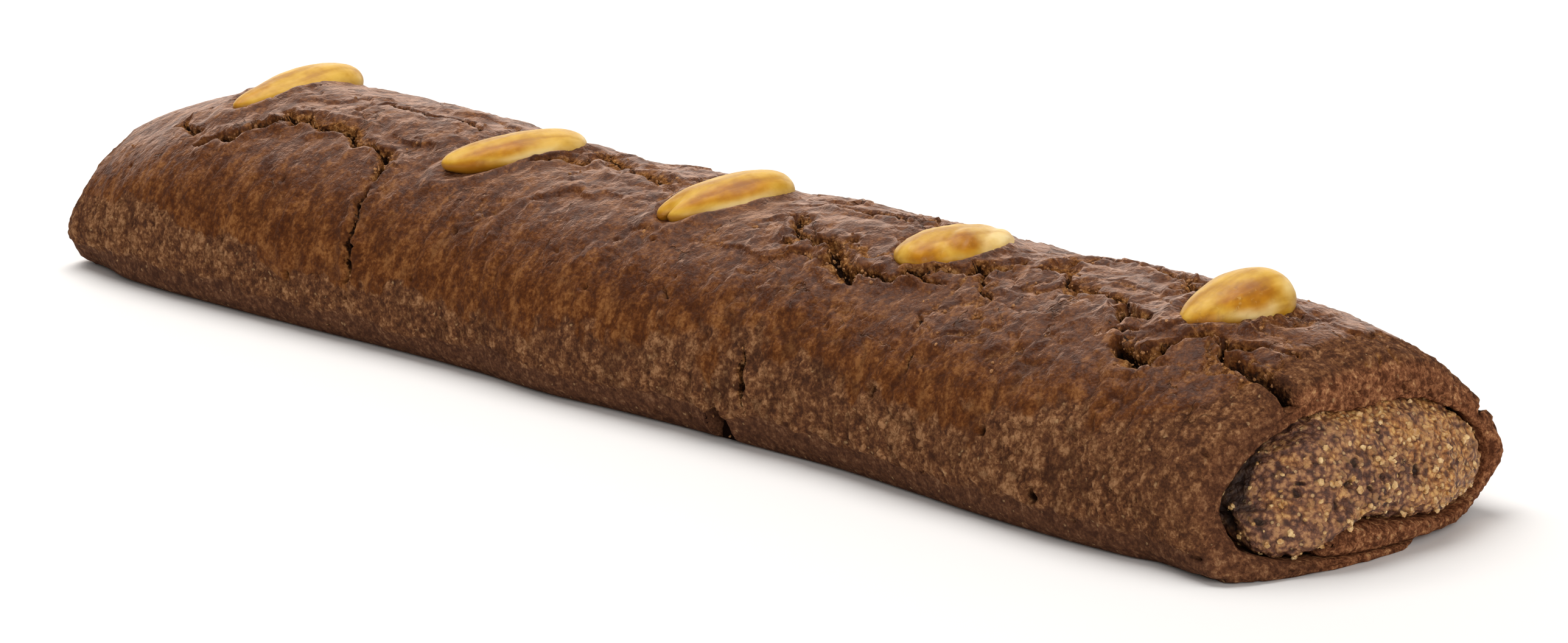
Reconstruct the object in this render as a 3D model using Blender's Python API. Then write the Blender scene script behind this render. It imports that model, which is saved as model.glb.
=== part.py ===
"""A filled speculaas bar.

One sheet of spiced dough is rolled round a thick core of almond paste. The sheet overlaps itself under the
bar, so its section is a flat spiral, and the roll is open at both ends. Five blanched almonds are pressed
into the top. The bar lies along X on a flat base at z = 0, its front at -Y. The origin is the middle of
the base.
"""

import math

import bmesh
import bpy
import numpy as np
from mathutils import Matrix, Vector
from mathutils.geometry import tessellate_polygon

MM = 0.001
GAP = 0.3  # mm between neighbouring pieces

# The bar, in millimetres.
LENGTH = 275.0
NEAR, FAR = 1, -1

# The dough sheet's section as (y, z), from the free edge under the bar, leftwards along the base, up the
# front, over the top and down the back to where it tucks under the filling.
OUTSIDE = (
    (15.0, 0.0), (-2.0, 0.0), (-22.0, 0.0), (-28.0, 0.5), (-30.2, 3.2), (-31.0, 7.5), (-30.2, 12.5),
    (-27.3, 18.2), (-21.5, 23.4), (-12.5, 27.2), (-2.0, 28.8), (9.0, 28.0), (18.5, 24.2), (25.0, 18.0),
    (28.6, 11.8), (28.9, 7.5), (26.8, 3.6), (22.0, 1.5), (16.0, 0.75),
)
TUCK_UNDERSIDE = ((14.0, 0.72), (3.0, 1.05), (-8.0, 1.65))
TUCK_EDGE = ((-11.5, 2.0), (-13.2, 3.4), (-12.0, 4.8))
INSIDE = (
    (-6.0, 4.8), (7.0, 4.3), (16.5, 4.5), (22.0, 6.3), (24.0, 10.2), (22.6, 15.0), (17.2, 19.4),
    (8.0, 21.8), (-3.0, 22.4), (-13.0, 21.4), (-20.0, 18.3), (-23.9, 13.6), (-24.6, 9.0), (-22.2, 5.4),
    (-17.5, 3.5), (-14.6, 2.2),
)
FREE_EDGE_TOP = ((-8.0, 1.35), (3.0, 0.75), (14.0, 0.42))
OUTSIDE_POINTS, INSIDE_POINTS = 34, 26
BASE_FLAT = 0.1  # anything lower than this lies on the tray

# The filling's section, one gap inside the sheet, with a hollow left at its lower front.
FILLING = (
    (-24.0, 10.0), (-23.1, 14.0), (-19.5, 17.9), (-12.6, 20.9), (-3.0, 21.9), (7.8, 21.3), (16.8, 19.0),
    (22.1, 14.8), (23.5, 10.2), (21.6, 6.8), (16.3, 5.0), (7.0, 4.8), (-6.0, 5.3), (-12.4, 5.4),
    (-16.5, 5.0), (-21.3, 6.6),
)
FILLING_POINTS = 30
FILLING_SET_BACK = 3.2  # its rim lies this far inside the end faces
FILLING_BULGE = {NEAR: 4.6, FAR: 3.6}  # and its middle bulges this far past that rim

# The hand-rolled unevenness: place along X, reach of the front's foot, reach of the front, reach of the
# back, height of the ridge.
STATIONS = (
    (-137.5, 26.4, 29.8, 28.6, 29.2), (-129, 26.6, 30.6, 29.0, 29.8), (-117, 29.4, 31.6, 29.4, 30.3),
    (-92, 29.7, 31.8, 29.6, 31.3), (-63, 28.8, 31.0, 29.2, 30.8), (-46, 27.9, 30.4, 28.8, 29.7),
    (-28, 27.7, 30.2, 28.8, 29.4), (-9, 28.7, 30.8, 28.6, 29.8), (7, 27.5, 30.2, 28.5, 29.4),
    (24, 26.9, 29.8, 28.4, 30.2), (40, 26.8, 29.6, 28.4, 30.5), (54, 26.6, 29.6, 28.4, 29.6),
    (71, 27.9, 30.6, 28.6, 29.4), (87, 29.5, 31.4, 28.8, 29.8), (102, 30.0, 31.8, 29.2, 30.3),
    (116, 29.6, 31.4, 29.2, 29.8), (122, 28.6, 31.0, 29.2, 29.2), (137.5, 30.4, 31.0, 29.4, 29.2),
)
SECTION_FOOT, SECTION_FRONT, SECTION_BACK, SECTION_TOP = 28.0, 31.0, 28.9, 28.8
FOOT_HEIGHT = 8.0

MIDDLE_RINGS = 19

# How the ends finish. Each face falls back from its apex towards both sides and towards the top, and the
# body draws in a little before it. Pairs are at the base and above it.
APEX = {NEAR: -8.0, FAR: -4.0}
BOW_FRONT = {NEAR: (5.4, 8.4), FAR: (2.0, 3.0)}
BOW_BACK = {NEAR: (5.4, 2.4), FAR: (4.0, 4.0)}
BOW_HEIGHT = {NEAR: (1.0, 12.0), FAR: (8.0, 18.0)}
LEAN = {NEAR: 6.0, FAR: 3.0}
DRAW_LENGTH = {NEAR: 26.0, FAR: 44.0}
DRAW_TOP = {NEAR: 0.13, FAR: 0.20}
DRAW_BACK = {NEAR: 0.0, FAR: 0.04}
DRAW_FRONT = {NEAR: 0.02, FAR: 0.0}
BOW_REACH = 34.0
RIM_OUTER, RIM_INNER = 3.4, 1.3  # rounding of the sheet's cut edge, outside and inside
RIM_DEPTH = 3.6
RIM_ANGLES = (0, 28, 54, 78)

# Almonds: place along X, place across, length, width, thickness, turn about the vertical in degrees,
# and the share of the thickness that is sunk in the crust.
ALMONDS = (
    (-106.7, -0.2, 26.6, 12.5, 7.4, -3, 0.42),
    (-43.3, -6.2, 24.5, 12.5, 7.0, 20, 0.46),
    (5.6, -4.4, 23.9, 12.5, 7.2, 11, 0.46),
    (54.6, -5.0, 21.5, 15.4, 7.4, -9, 0.46),
    (109.6, -3.2, 20.2, 13.4, 9.0, 6, 0.40),
)
ALMOND_SEGMENTS, ALMOND_RINGS = 14, 11


# The deepest baking cracks: width, then (x, y, z, depth) along each, on the crust. The first one splits the
# lip over the filling at the near end.
CRACKS = (
    (1.7, ((113.0, -14.6, 26.9, 1.2), (118.7, -14.9, 26.1, 3.0), (123.5, -15.2, 25.0, 5.0),
           (128.4, -15.7, 23.2, 7.5), (134.0, -16.6, 20.0, 7.5))),
    (1.3, ((-58.6, -22.4, 23.1, 0.9), (-56.8, -25.0, 20.4, 2.2), (-55.2, -27.7, 16.2, 2.6),
           (-54.8, -29.4, 10.6, 0.9))),
    (1.6, ((23.5, -6.0, 29.8, 0.8), (30.8, -10.6, 28.9, 2.4), (39.6, -11.7, 28.5, 2.6),
           (47.0, -16.4, 26.2, 2.2), (55.2, -15.9, 26.4, 0.8))),
    (1.8, ((80.6, -4.8, 29.6, 0.8), (91.5, -8.2, 29.2, 2.2), (97.0, -10.2, 28.9, 2.6),
           (101.0, -15.0, 27.5, 2.6), (106.2, -19.3, 25.5, 1.2))),
)
CRACK_AXIS = 6.0  # height of the line that the cracks point down towards


def curve(points, count, closed=False):
    """count points evenly along a smooth curve (Catmull-Rom) through the given points."""
    pts = np.array(points, float)
    n = len(pts)
    dense = []
    for k in range(n if closed else n - 1):
        if closed:
            a, b, c, d = (pts[(k + i) % n] for i in (-1, 0, 1, 2))
        else:
            a, b, c, d = pts[max(k - 1, 0)], pts[k], pts[k + 1], pts[min(k + 2, n - 1)]
        for t in np.linspace(0, 1, 12, endpoint=False):
            dense.append(
                0.5 * (2 * b + (c - a) * t + (2 * a - 5 * b + 4 * c - d) * t**2 + (3 * b - a - 3 * c + d) * t**3)
            )
    dense.append(pts[0] if closed else pts[-1])
    dense = np.array(dense)
    run = np.concatenate([[0], np.cumsum(np.linalg.norm(np.diff(dense, axis=0), axis=1))])
    at = np.linspace(0, run[-1], count, endpoint=not closed)
    return np.stack([np.interp(at, run, dense[:, i]) for i in (0, 1)], axis=1)


def smooth(place, places, values):
    """The value at place on a smooth curve through values at places."""
    place = min(max(place, places[0]), places[-1])
    k = min(max(int(np.searchsorted(places, place)) - 1, 0), len(places) - 2)
    span = places[k + 1] - places[k]
    t = (place - places[k]) / span

    def slope(i):
        low, high = max(i - 1, 0), min(i + 1, len(places) - 1)
        return (values[high] - values[low]) / (places[high] - places[low]) * span

    return (
        (2 * t**3 - 3 * t**2 + 1) * values[k]
        + (t**3 - 2 * t**2 + t) * slope(k)
        + (3 * t**2 - 2 * t**3) * values[k + 1]
        + (t**3 - t**2) * slope(k + 1)
    )


def ease(t):
    t = min(max(t, 0.0), 1.0)
    return t * t * (3 - 2 * t)


def shape_at(x):
    """Scales of the section at x: foot, front, back and height."""
    places = [s[0] for s in STATIONS]
    foot, front, back, top = (smooth(x, places, [s[k] for s in STATIONS]) for k in (1, 2, 3, 4))
    side = NEAR if x > 0 else FAR
    drawn = (1 - min((LENGTH / 2 - abs(x)) / DRAW_LENGTH[side], 1.0)) ** 2.2
    return (
        foot / SECTION_FOOT,
        front / SECTION_FRONT * (1 - DRAW_FRONT[side] * drawn),
        back / SECTION_BACK * (1 - DRAW_BACK[side] * drawn),
        top / SECTION_TOP * (1 - DRAW_TOP[side] * drawn),
    )


def placed(x, y, z):
    """A point of the section, set at x with the end's bow and lean."""
    foot, front, back, high = shape_at(x)
    side = NEAR if x > 0 else FAR
    share = ease(1 - (LENGTH / 2 - abs(x)) / BOW_REACH)
    across = y - APEX[side]
    low, above = BOW_HEIGHT[side]
    base_bow, upper_bow = BOW_BACK[side] if across > 0 else BOW_FRONT[side]
    reach = 29.7 if across > 0 else 22.0
    risen = ease((z - low) / (above - low))
    bow = (base_bow + (upper_bow - base_bow) * risen) * (abs(across) / reach) ** 2.2
    fall = bow + LEAN[side] * ease((z - 3) / 24)
    if y > 0:
        wide = back
    else:
        wide = foot + (front - foot) * ease(z / FOOT_HEIGHT)
    return Vector((x - side * share * fall, y * wide, z * high)) * MM


def sheet_section():
    """The sheet's closed outline, and for each point the way into the dough and the room there."""
    crust = curve(OUTSIDE, OUTSIDE_POINTS)
    crust[:, 1] = np.where(crust[:, 1] < BASE_FLAT, 0.0, crust[:, 1])
    outline = np.concatenate([
        crust, np.array(TUCK_UNDERSIDE), np.array(TUCK_EDGE),
        curve(INSIDE, INSIDE_POINTS), np.array(FREE_EDGE_TOP),
    ])
    along = np.roll(outline, -1, axis=0) - np.roll(outline, 1, axis=0)
    inward = np.stack([along[:, 1], -along[:, 0]], axis=1)
    inward /= np.linalg.norm(inward, axis=1)[:, None]
    room = []
    n = len(outline)
    for i in range(n):
        nearest = 1e9
        for j in range(n):
            k = (j + 1) % n
            if i in (j, k):
                continue
            edge = outline[k] - outline[j]
            system = np.array([inward[i], -edge]).T
            if abs(np.linalg.det(system)) < 1e-9:
                continue
            ahead, share = np.linalg.solve(system, outline[j] - outline[i])
            if ahead > 1e-6 and -1e-6 <= share <= 1 + 1e-6:
                nearest = min(nearest, ahead)
        room.append(nearest)
    return outline, inward, np.array(room)


def loft(name, rows):
    """A closed mesh through rings of equal count. The first and the last ring are faced over."""
    bm = bmesh.new()
    rows = [[bm.verts.new(p) for p in row] for row in rows]
    count = len(rows[0])
    for low, high in zip(rows, rows[1:]):
        for i in range(count):
            j = (i + 1) % count
            bm.faces.new((low[i], low[j], high[j], high[i]))
    for row in (rows[0], rows[-1]):
        flat = [Vector((v.co.y, v.co.z, 0)) for v in row]
        for corners in tessellate_polygon([flat]):
            bm.faces.new([row[k] for k in corners])
    bmesh.ops.recalc_face_normals(bm, faces=bm.faces)
    mesh = bpy.data.meshes.new(name)
    bm.to_mesh(mesh)
    bm.free()
    return bpy.data.objects.new(name, mesh)


def dough_roll(name):
    """The rolled sheet, with the edges of both open ends rounded."""
    outline, inward, room = sheet_section()
    outer = np.zeros(len(outline), bool)
    outer[: OUTSIDE_POINTS - 4] = True
    rounding = np.where(outer, RIM_OUTER, RIM_INNER)
    rounding = np.minimum(rounding, 0.42 * room)
    half = LENGTH / 2

    def ring(x, tuck):
        points = outline + inward * (rounding * tuck)[:, None]
        return [placed(x, y, z) for y, z in points]

    rims = [(RIM_DEPTH * (1 - math.sin(math.radians(a))), 1 - math.cos(math.radians(a))) for a in RIM_ANGLES]
    rims = [(depth, tuck) for depth, tuck in rims]
    rows = [ring(-half + depth, tuck) for depth, tuck in reversed(rims)]
    steps = 0.5 - 0.5 * np.cos(np.linspace(0, math.pi, MIDDLE_RINGS + 2)[1:-1])
    evened = 0.35 * steps + 0.65 * np.linspace(0, 1, MIDDLE_RINGS + 2)[1:-1]
    rows += [ring(-half + RIM_DEPTH + t * (LENGTH - 2 * RIM_DEPTH), 0) for t in evened]
    rows += [ring(half - depth, tuck) for depth, tuck in rims]
    return loft(name, rows)


def paste_core(name):
    """The almond paste that fills the roll from end to end, bulging a little at both."""
    outline = curve(FILLING, FILLING_POINTS, closed=True)
    middle = np.array([0.0, 12.5])
    half = LENGTH / 2 - FILLING_SET_BACK
    domes = [(math.cos(a), math.sin(a)) for a in np.radians((20, 45, 68))]

    def ring(x, shrink, past=0.0):
        row = []
        for y, z in middle + (outline - middle) * shrink:
            point = placed(x, y, z)
            point.x += past * MM
            row.append(point)
        return row

    rows = [ring(-half, s, -FILLING_BULGE[FAR] * out) for out, s in domes]
    rows += [ring(x, 1.0) for x in np.linspace(-half, half, MIDDLE_RINGS)]
    rows += [ring(half, s, FILLING_BULGE[NEAR] * out) for out, s in reversed(domes)]
    return loft(name, rows)


def crust_height(x, y):
    """Height of the crust above a place (x, y)."""
    _, front, back, high = shape_at(x)
    outline = curve(OUTSIDE[5:16], 60)
    return float(np.interp(y / (back if y > 0 else front), outline[:, 0], outline[:, 1])) * high


def almond(name, row, grow=0.0):
    """A blanched almond lying on the crust, its tip to the front, or the dimple for it if it is grown."""
    x, y, length, width, thickness, turn, sunk = row
    bm = bmesh.new()
    bmesh.ops.create_uvsphere(bm, u_segments=ALMOND_SEGMENTS, v_segments=ALMOND_RINGS, radius=1.0)
    for vert in bm.verts:
        across, up, along = vert.co
        taper = (1 - 0.16 * (1 - along)) * (1 - 0.09 * (1 - along) ** 2)
        vert.co = Vector((
            across * (taper * width / 2 + grow),
            along * (length / 2 + grow),
            -up * (taper**0.6 * thickness / 2 + grow),
        )) * MM
    slope = math.atan2(crust_height(x, y + 6) - crust_height(x, y - 6), 12)
    middle = Vector((x, y, crust_height(x, y) + thickness * (0.5 - sunk))) * MM
    place = Matrix.Translation(middle)
    place @= Matrix.Rotation(slope, 4, "X") @ Matrix.Rotation(math.radians(-turn), 4, "Z")
    bmesh.ops.transform(bm, matrix=place, verts=bm.verts)
    mesh = bpy.data.meshes.new(name)
    bm.to_mesh(mesh)
    bm.free()
    return bpy.data.objects.new(name, mesh)


def crack_wedge(name, width, places):
    """A wedge that follows a crack along the crust, wide above and sharp below, pointed at both ends."""
    bm = bmesh.new()
    rows = []
    last = len(places) - 1
    for k, (x, y, z, depth) in enumerate(places):
        here = Vector((x, y, z))
        along = Vector(places[min(k + 1, last)][:3]) - Vector(places[max(k - 1, 0)][:3])
        outward = Vector((0, y, z - CRACK_AXIS)).normalized()
        across = along.cross(outward).normalized() * width / 2 * (0.45 if k in (0, last) else 1.0)
        above = outward * 2.0
        rows.append([here - outward * depth, here + above + across, here + above - across])
    rows = [[bm.verts.new(p * MM) for p in row] for row in rows]
    for low, high in zip(rows, rows[1:]):
        for i in range(3):
            bm.faces.new((low[i], low[(i + 1) % 3], high[(i + 1) % 3], high[i]))
    bm.faces.new(rows[0])
    bm.faces.new(rows[-1])
    bmesh.ops.triangulate(bm, faces=bm.faces)
    bmesh.ops.recalc_face_normals(bm, faces=bm.faces)
    mesh = bpy.data.meshes.new(name)
    bm.to_mesh(mesh)
    bm.free()
    return bpy.data.objects.new(name, mesh)


def material(name, colour, roughness):
    made = bpy.data.materials.new(name)
    made.use_nodes = True
    shader = made.node_tree.nodes["Principled BSDF"]
    shader.inputs["Base Color"].default_value = (*colour, 1)
    shader.inputs["Roughness"].default_value = roughness
    return made


def collection(name):
    made = bpy.data.collections.new(name)
    bpy.context.scene.collection.children.link(made)
    return made


def main():
    for obj in list(bpy.data.objects):
        bpy.data.objects.remove(obj)
    home = collection("filled_speculaas_bar")
    cutters = collection("cutters")
    dough_look = material("speculaas_dough", (0.16, 0.07, 0.03), 0.6)
    paste_look = material("almond_paste", (0.28, 0.14, 0.05), 0.7)
    almond_look = material("glazed_almond", (0.65, 0.38, 0.10), 0.3)

    dough = dough_roll("dough_roll")
    pieces = [(dough, dough_look), (paste_core("paste_core"), paste_look)]
    dimples = []
    for i, row in enumerate(ALMONDS):
        pieces.append((almond(f"almond_{i + 1}", row), almond_look))
        dimples.append(almond(f"dimple_{i + 1}", row, GAP))
    corners = np.array([v.co for v in dough.data.vertices])
    low, high = corners.min(axis=0), corners.max(axis=0)
    to_middle = Matrix.Translation((-(low[0] + high[0]) / 2, -(low[1] + high[1]) / 2, -low[2]))
    for obj in [obj for obj, _ in pieces] + dimples:
        obj.data.transform(to_middle)
    cracks = [crack_wedge(f"crack_{i + 1}", *crack) for i, crack in enumerate(CRACKS)]
    for obj, look in pieces:
        obj.data.materials.append(look)
        obj.data.shade_smooth()
        home.objects.link(obj)
    for tool in dimples + cracks:
        cutters.objects.link(tool)
        tool.hide_render = True
        tool.display_type = "WIRE"
    cut = dough.modifiers.new("dimples_and_cracks", "BOOLEAN")
    cut.operation = "DIFFERENCE"
    cut.operand_type = "COLLECTION"
    cut.collection = cutters


main()
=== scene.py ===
import math
from itertools import product

import bmesh
import bpy
import numpy as np
from mathutils import Matrix, Vector
from mathutils.geometry import tessellate_polygon


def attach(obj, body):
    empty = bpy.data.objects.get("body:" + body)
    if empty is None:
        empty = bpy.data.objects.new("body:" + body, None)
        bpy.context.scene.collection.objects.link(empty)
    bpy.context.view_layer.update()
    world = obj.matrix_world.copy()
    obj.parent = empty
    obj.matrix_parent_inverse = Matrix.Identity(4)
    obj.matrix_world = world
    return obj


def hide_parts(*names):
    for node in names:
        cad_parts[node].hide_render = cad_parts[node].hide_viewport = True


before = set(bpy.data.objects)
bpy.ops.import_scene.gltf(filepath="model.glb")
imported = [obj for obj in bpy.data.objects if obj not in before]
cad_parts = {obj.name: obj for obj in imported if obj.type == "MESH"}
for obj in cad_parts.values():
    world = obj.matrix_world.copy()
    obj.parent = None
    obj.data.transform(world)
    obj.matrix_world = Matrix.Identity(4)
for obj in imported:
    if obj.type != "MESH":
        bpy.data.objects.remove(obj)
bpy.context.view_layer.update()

MM = 0.001

# ---- the bar's form

LENGTH = 275.0
NEAR, FAR = 1, -1

# The sheet's section as (y, z), from its free edge under the bar, along the base, up the front, over the
# top and down the back to where it tucks under the filling.
OUTSIDE = (
    (15.0, 0.0), (-2.0, 0.0), (-22.0, 0.0), (-28.0, 0.5), (-30.2, 3.2), (-31.0, 7.5), (-30.2, 12.5),
    (-27.3, 18.2), (-21.5, 23.4), (-12.5, 27.2), (-2.0, 28.8), (9.0, 28.0), (18.5, 24.2), (25.0, 18.0),
    (28.6, 11.8), (28.9, 7.5), (26.8, 3.6), (22.0, 1.5), (16.0, 0.75),
)
TUCK_UNDERSIDE = ((14.0, 0.72), (3.0, 1.05), (-8.0, 1.65), (-11.2, 1.95))
TUCK_EDGE = ((-12.4, 2.3), (-13.1, 3.2), (-12.9, 4.2), (-11.6, 4.75))
TUCK_EDGE_AT_NEAR = ((-13.6, 2.3), (-14.7, 3.3), (-14.6, 4.7), (-13.0, 5.7))
INSIDE = (
    (-10.0, 4.8), (-6.0, 4.8), (7.0, 4.3), (16.5, 4.5), (22.0, 6.3), (24.0, 10.2), (22.6, 15.0),
    (17.2, 19.4), (8.0, 21.8), (-3.0, 22.4), (-13.0, 21.4), (-20.0, 18.3), (-23.9, 13.6), (-24.6, 9.0),
    (-22.2, 5.4), (-17.5, 3.5), (-14.6, 2.2),
)
# The same at the near end, where the opening is wider at the front and its lip hangs lower.
INSIDE_AT_NEAR = (
    (-11.8, 5.9), (-6.0, 5.6), (7.0, 3.7), (16.5, 2.6), (22.8, 4.2), (25.3, 9.0), (23.4, 14.4), (17.4, 18.6),
    (8.0, 21.5), (-3.0, 21.8), (-12.4, 22.3), (-20.4, 18.8), (-25.5, 13.8), (-27.4, 9.2), (-26.0, 5.0),
    (-20.8, 2.9), (-16.4, 2.1),
)
FREE_EDGE_TOP = ((-12.0, 1.7), (-8.0, 1.35), (3.0, 0.75), (14.0, 0.42))
FILLING = (
    (-24.0, 10.0), (-23.1, 14.0), (-19.5, 17.9), (-12.6, 20.9), (-3.0, 21.9), (7.8, 21.3), (16.8, 19.0),
    (22.1, 14.8), (23.5, 10.2), (21.6, 6.8), (16.3, 5.0), (7.0, 4.8), (-6.0, 5.3), (-12.4, 5.4),
    (-16.5, 5.0), (-21.3, 6.6),
)
FILLING_AT_NEAR = (
    (-23.4, 8.0), (-21.0, 12.6), (-17.4, 16.8), (-11.8, 20.4), (-3.0, 21.3), (7.8, 21.1), (16.8, 18.2),
    (22.2, 14.2), (24.2, 9.2), (22.6, 4.8), (16.3, 2.9), (7.0, 3.8), (-6.0, 5.8), (-13.8, 6.2),
    (-16.4, 2.9), (-21.0, 3.3),
)

# Hand-rolled unevenness: place along X, reach of the front's foot, of the front, of the back, ridge height.
STATIONS = np.array((
    (-137.5, 26.4, 29.8, 28.6, 29.2), (-129, 26.6, 30.6, 29.0, 29.8), (-117, 29.4, 31.6, 29.4, 30.3),
    (-92, 29.7, 31.8, 29.6, 31.3), (-63, 28.8, 31.0, 29.2, 30.8), (-46, 27.9, 30.4, 28.8, 29.7),
    (-28, 27.7, 30.2, 28.8, 29.4), (-9, 28.7, 30.8, 28.6, 29.8), (7, 27.5, 30.2, 28.5, 29.4),
    (24, 26.9, 29.8, 28.4, 30.2), (40, 26.8, 29.6, 28.4, 30.5), (54, 26.6, 29.6, 28.4, 29.6),
    (71, 27.9, 30.6, 28.6, 29.4), (87, 29.5, 31.4, 28.8, 29.8), (102, 30.0, 31.8, 29.2, 30.3),
    (116, 29.6, 31.4, 29.2, 29.8), (122, 28.6, 31.0, 29.0, 29.2), (137.5, 30.4, 31.0, 28.4, 29.2),
))
SECTION_FOOT, SECTION_FRONT, SECTION_BACK, SECTION_TOP = 28.0, 31.0, 28.9, 28.8
FOOT_HEIGHT = 8.0

# The ends: each face falls back from its apex towards the sides and the top, and the body draws in.
APEX = {NEAR: -8.0, FAR: -4.0}
# How far a face falls back in front of its apex, at the base and above; the same behind it; and the heights
# between which the one gives way to the other.
BOW = {NEAR: (5.4, 8.4, 5.4, 2.4, 1.0, 12.0), FAR: (2.0, 3.0, 4.0, 4.0, 8.0, 18.0)}
BOW_BEHIND, BOW_BEFORE = 29.7, 22.0
BOW_REACH = 34.0
LEAN = {NEAR: 6.0, FAR: 3.0}
LEAN_FROM, LEAN_OVER = 3.0, 24.0
DRAW_LENGTH = {NEAR: 26.0, FAR: 44.0}
DRAW_TOP = {NEAR: 0.13, FAR: 0.20}
DRAW_BACK = {NEAR: 0.0, FAR: 0.04}
DRAW_FRONT = {NEAR: 0.02, FAR: 0.0}
END_POWER = 2.2  # how late the ends bow and draw in
RIM_OUTER, RIM_INNER = 3.4, 1.3
RIM_RINGS = 11

# Almonds: x, y, length, width, thickness, turn about the vertical, tip towards the front, share sunk.
ALMONDS = (
    (-106.9, -0.6, 26.8, 12.0, 7.2, -3, 3.0, 0.56),
    (-43.1, -5.8, 24.2, 12.0, 6.6, 20, -3.5, 0.49),
    (5.6, -4.6, 23.3, 12.5, 7.2, 11, 0.5, 0.52),
    (55.4, -4.3, 19.2, 13.8, 7.0, 12, -4.5, 0.51),
    (109.3, -3.4, 18.2, 13.2, 8.4, 6, 4.5, 0.50),
)
# Places where the crust swells up against an almond: x, y, reach and height.
SWELLS = ((-98.5, -1.5, 7.0, 0.7), (-39.0, 3.0, 5.0, 0.3), (60.0, 4.0, 5.0, 0.3))


def ease(t):
    """Rises smoothly from 0 to 1 as t does."""
    t = np.clip(t, 0.0, 1.0)
    return t * t * (3 - 2 * t)


def rising(value, start, over):
    """0 up to start, then smoothly up to 1."""
    return ease((value - start) / over)


def hump(value, reach):
    """1 where value is 0, falling away smoothly to both sides."""
    return np.exp(-(value / reach) ** 2)


def at(x, table):
    """The value at x of a table of (place, value) pairs."""
    return np.interp(x, *np.transpose(table))


def crossed(a, b):
    """Cross product of flat vectors."""
    return a[..., 0] * b[..., 1] - a[..., 1] * b[..., 0]


def run_of(points):
    """Distance run at each of a row of points."""
    return np.concatenate([[0], np.cumsum(np.linalg.norm(np.diff(points, axis=0), axis=1))])


def resampled(points, count, endpoint=True):
    """A row of points set out again with even steps."""
    run = run_of(points)
    places = np.linspace(0, run[-1], count, endpoint=endpoint)
    return np.stack([np.interp(places, run, points[:, i]) for i in (0, 1)], axis=1)


def curve(points, step, closed=False, count=None):
    """Points about step apart along a smooth curve (Catmull-Rom) through the given points."""
    pts = np.array(points, float)
    n = len(pts)
    t = np.linspace(0, 1, 12, endpoint=False)[:, None]
    dense = []
    for k in range(n if closed else n - 1):
        around = [k + i for i in (-1, 0, 1, 2)]
        a, b, c, d = pts[[i % n if closed else min(max(i, 0), n - 1) for i in around]]
        dense.append(
            0.5 * (2 * b + (c - a) * t + (2 * a - 5 * b + 4 * c - d) * t**2 + (3 * b - a - 3 * c + d) * t**3)
        )
    dense = np.concatenate(dense + [pts[:1] if closed else pts[-1:]])
    return resampled(dense, count or max(3, int(round(run_of(dense)[-1] / step)) + 1), not closed)


def smooth(x, places, values):
    """values at places, joined by a smooth curve, at x."""
    x = np.clip(x, places[0], places[-1])
    k = np.clip(np.searchsorted(places, x) - 1, 0, len(places) - 2)
    span = places[k + 1] - places[k]
    t = (x - places[k]) / span
    low, high = np.maximum(k - 1, 0), np.minimum(k + 2, len(places) - 1)
    start = (values[k + 1] - values[low]) / (places[k + 1] - places[low]) * span
    stop = (values[high] - values[k]) / (places[high] - places[k]) * span
    return (
        (2 * t**3 - 3 * t**2 + 1) * values[k] + (t**3 - 2 * t**2 + t) * start
        + (3 * t**2 - 2 * t**3) * values[k + 1] + (t**3 - t**2) * stop
    )


def by_end(x, table):
    """What the table says for the end that x is nearer to."""
    return np.where(x > 0, table[NEAR], table[FAR])


def shape_at(x):
    """Scales of the section at x: foot, front, back and height."""
    foot, front, back, top = (smooth(x, STATIONS[:, 0], STATIONS[:, k]) for k in (1, 2, 3, 4))
    drawn = (1 - np.minimum((LENGTH / 2 - np.abs(x)) / by_end(x, DRAW_LENGTH), 1.0)) ** END_POWER
    return (
        foot / SECTION_FOOT,
        front / SECTION_FRONT * (1 - by_end(x, DRAW_FRONT) * drawn),
        back / SECTION_BACK * (1 - by_end(x, DRAW_BACK) * drawn),
        top / SECTION_TOP * (1 - by_end(x, DRAW_TOP) * drawn),
    )


def placed(x, points):
    """Points (y, z) of the section set at x along the bar, with the ends' bow and lean."""
    x, y, z = np.broadcast_arrays(x, points[:, 0], points[:, 1])
    foot, front, back, high = shape_at(x)
    share = ease(1 - (LENGTH / 2 - np.abs(x)) / BOW_REACH)
    across = y - by_end(x, APEX)
    bows = [by_end(x, {NEAR: near, FAR: far}) for near, far in zip(BOW[NEAR], BOW[FAR])]
    before_base, before, behind_base, behind, bottom, top = bows
    base_bow = np.where(across > 0, behind_base, before_base)
    upper_bow = np.where(across > 0, behind, before)
    reach = np.where(across > 0, BOW_BEHIND, BOW_BEFORE)
    bow = base_bow + (upper_bow - base_bow) * rising(z, bottom, top - bottom)
    fall = bow * (np.abs(across) / reach) ** END_POWER + by_end(x, LEAN) * rising(z, LEAN_FROM, LEAN_OVER)
    wide = np.where(y > 0, back, foot + (front - foot) * ease(z / FOOT_HEIGHT))
    return np.stack([x - by_end(x, {NEAR: 1.0, FAR: -1.0}) * share * fall, y * wide, z * high], axis=-1)


def spaced(marks):
    """Places along X from (start, step) marks, each step easing into the next."""
    xs = [marks[0][0]]
    starts, steps = np.array(marks, float).T
    while xs[-1] < starts[-1] - 0.05:
        xs.append(xs[-1] + float(np.interp(xs[-1], starts, steps)))
    xs = np.array(xs)
    return starts[0] + (xs - xs[0]) * (starts[-1] - starts[0]) / (xs[-1] - xs[0])


# ---- noise

draw = np.random.default_rng(2024)
GRADIENTS = draw.normal(size=(1024, 3))
GRADIENTS /= np.linalg.norm(GRADIENTS, axis=1)[:, None]
GRADIENTS = GRADIENTS.astype(np.float32)
JITTER = draw.random((4096, 3)).astype(np.float32)


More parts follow.
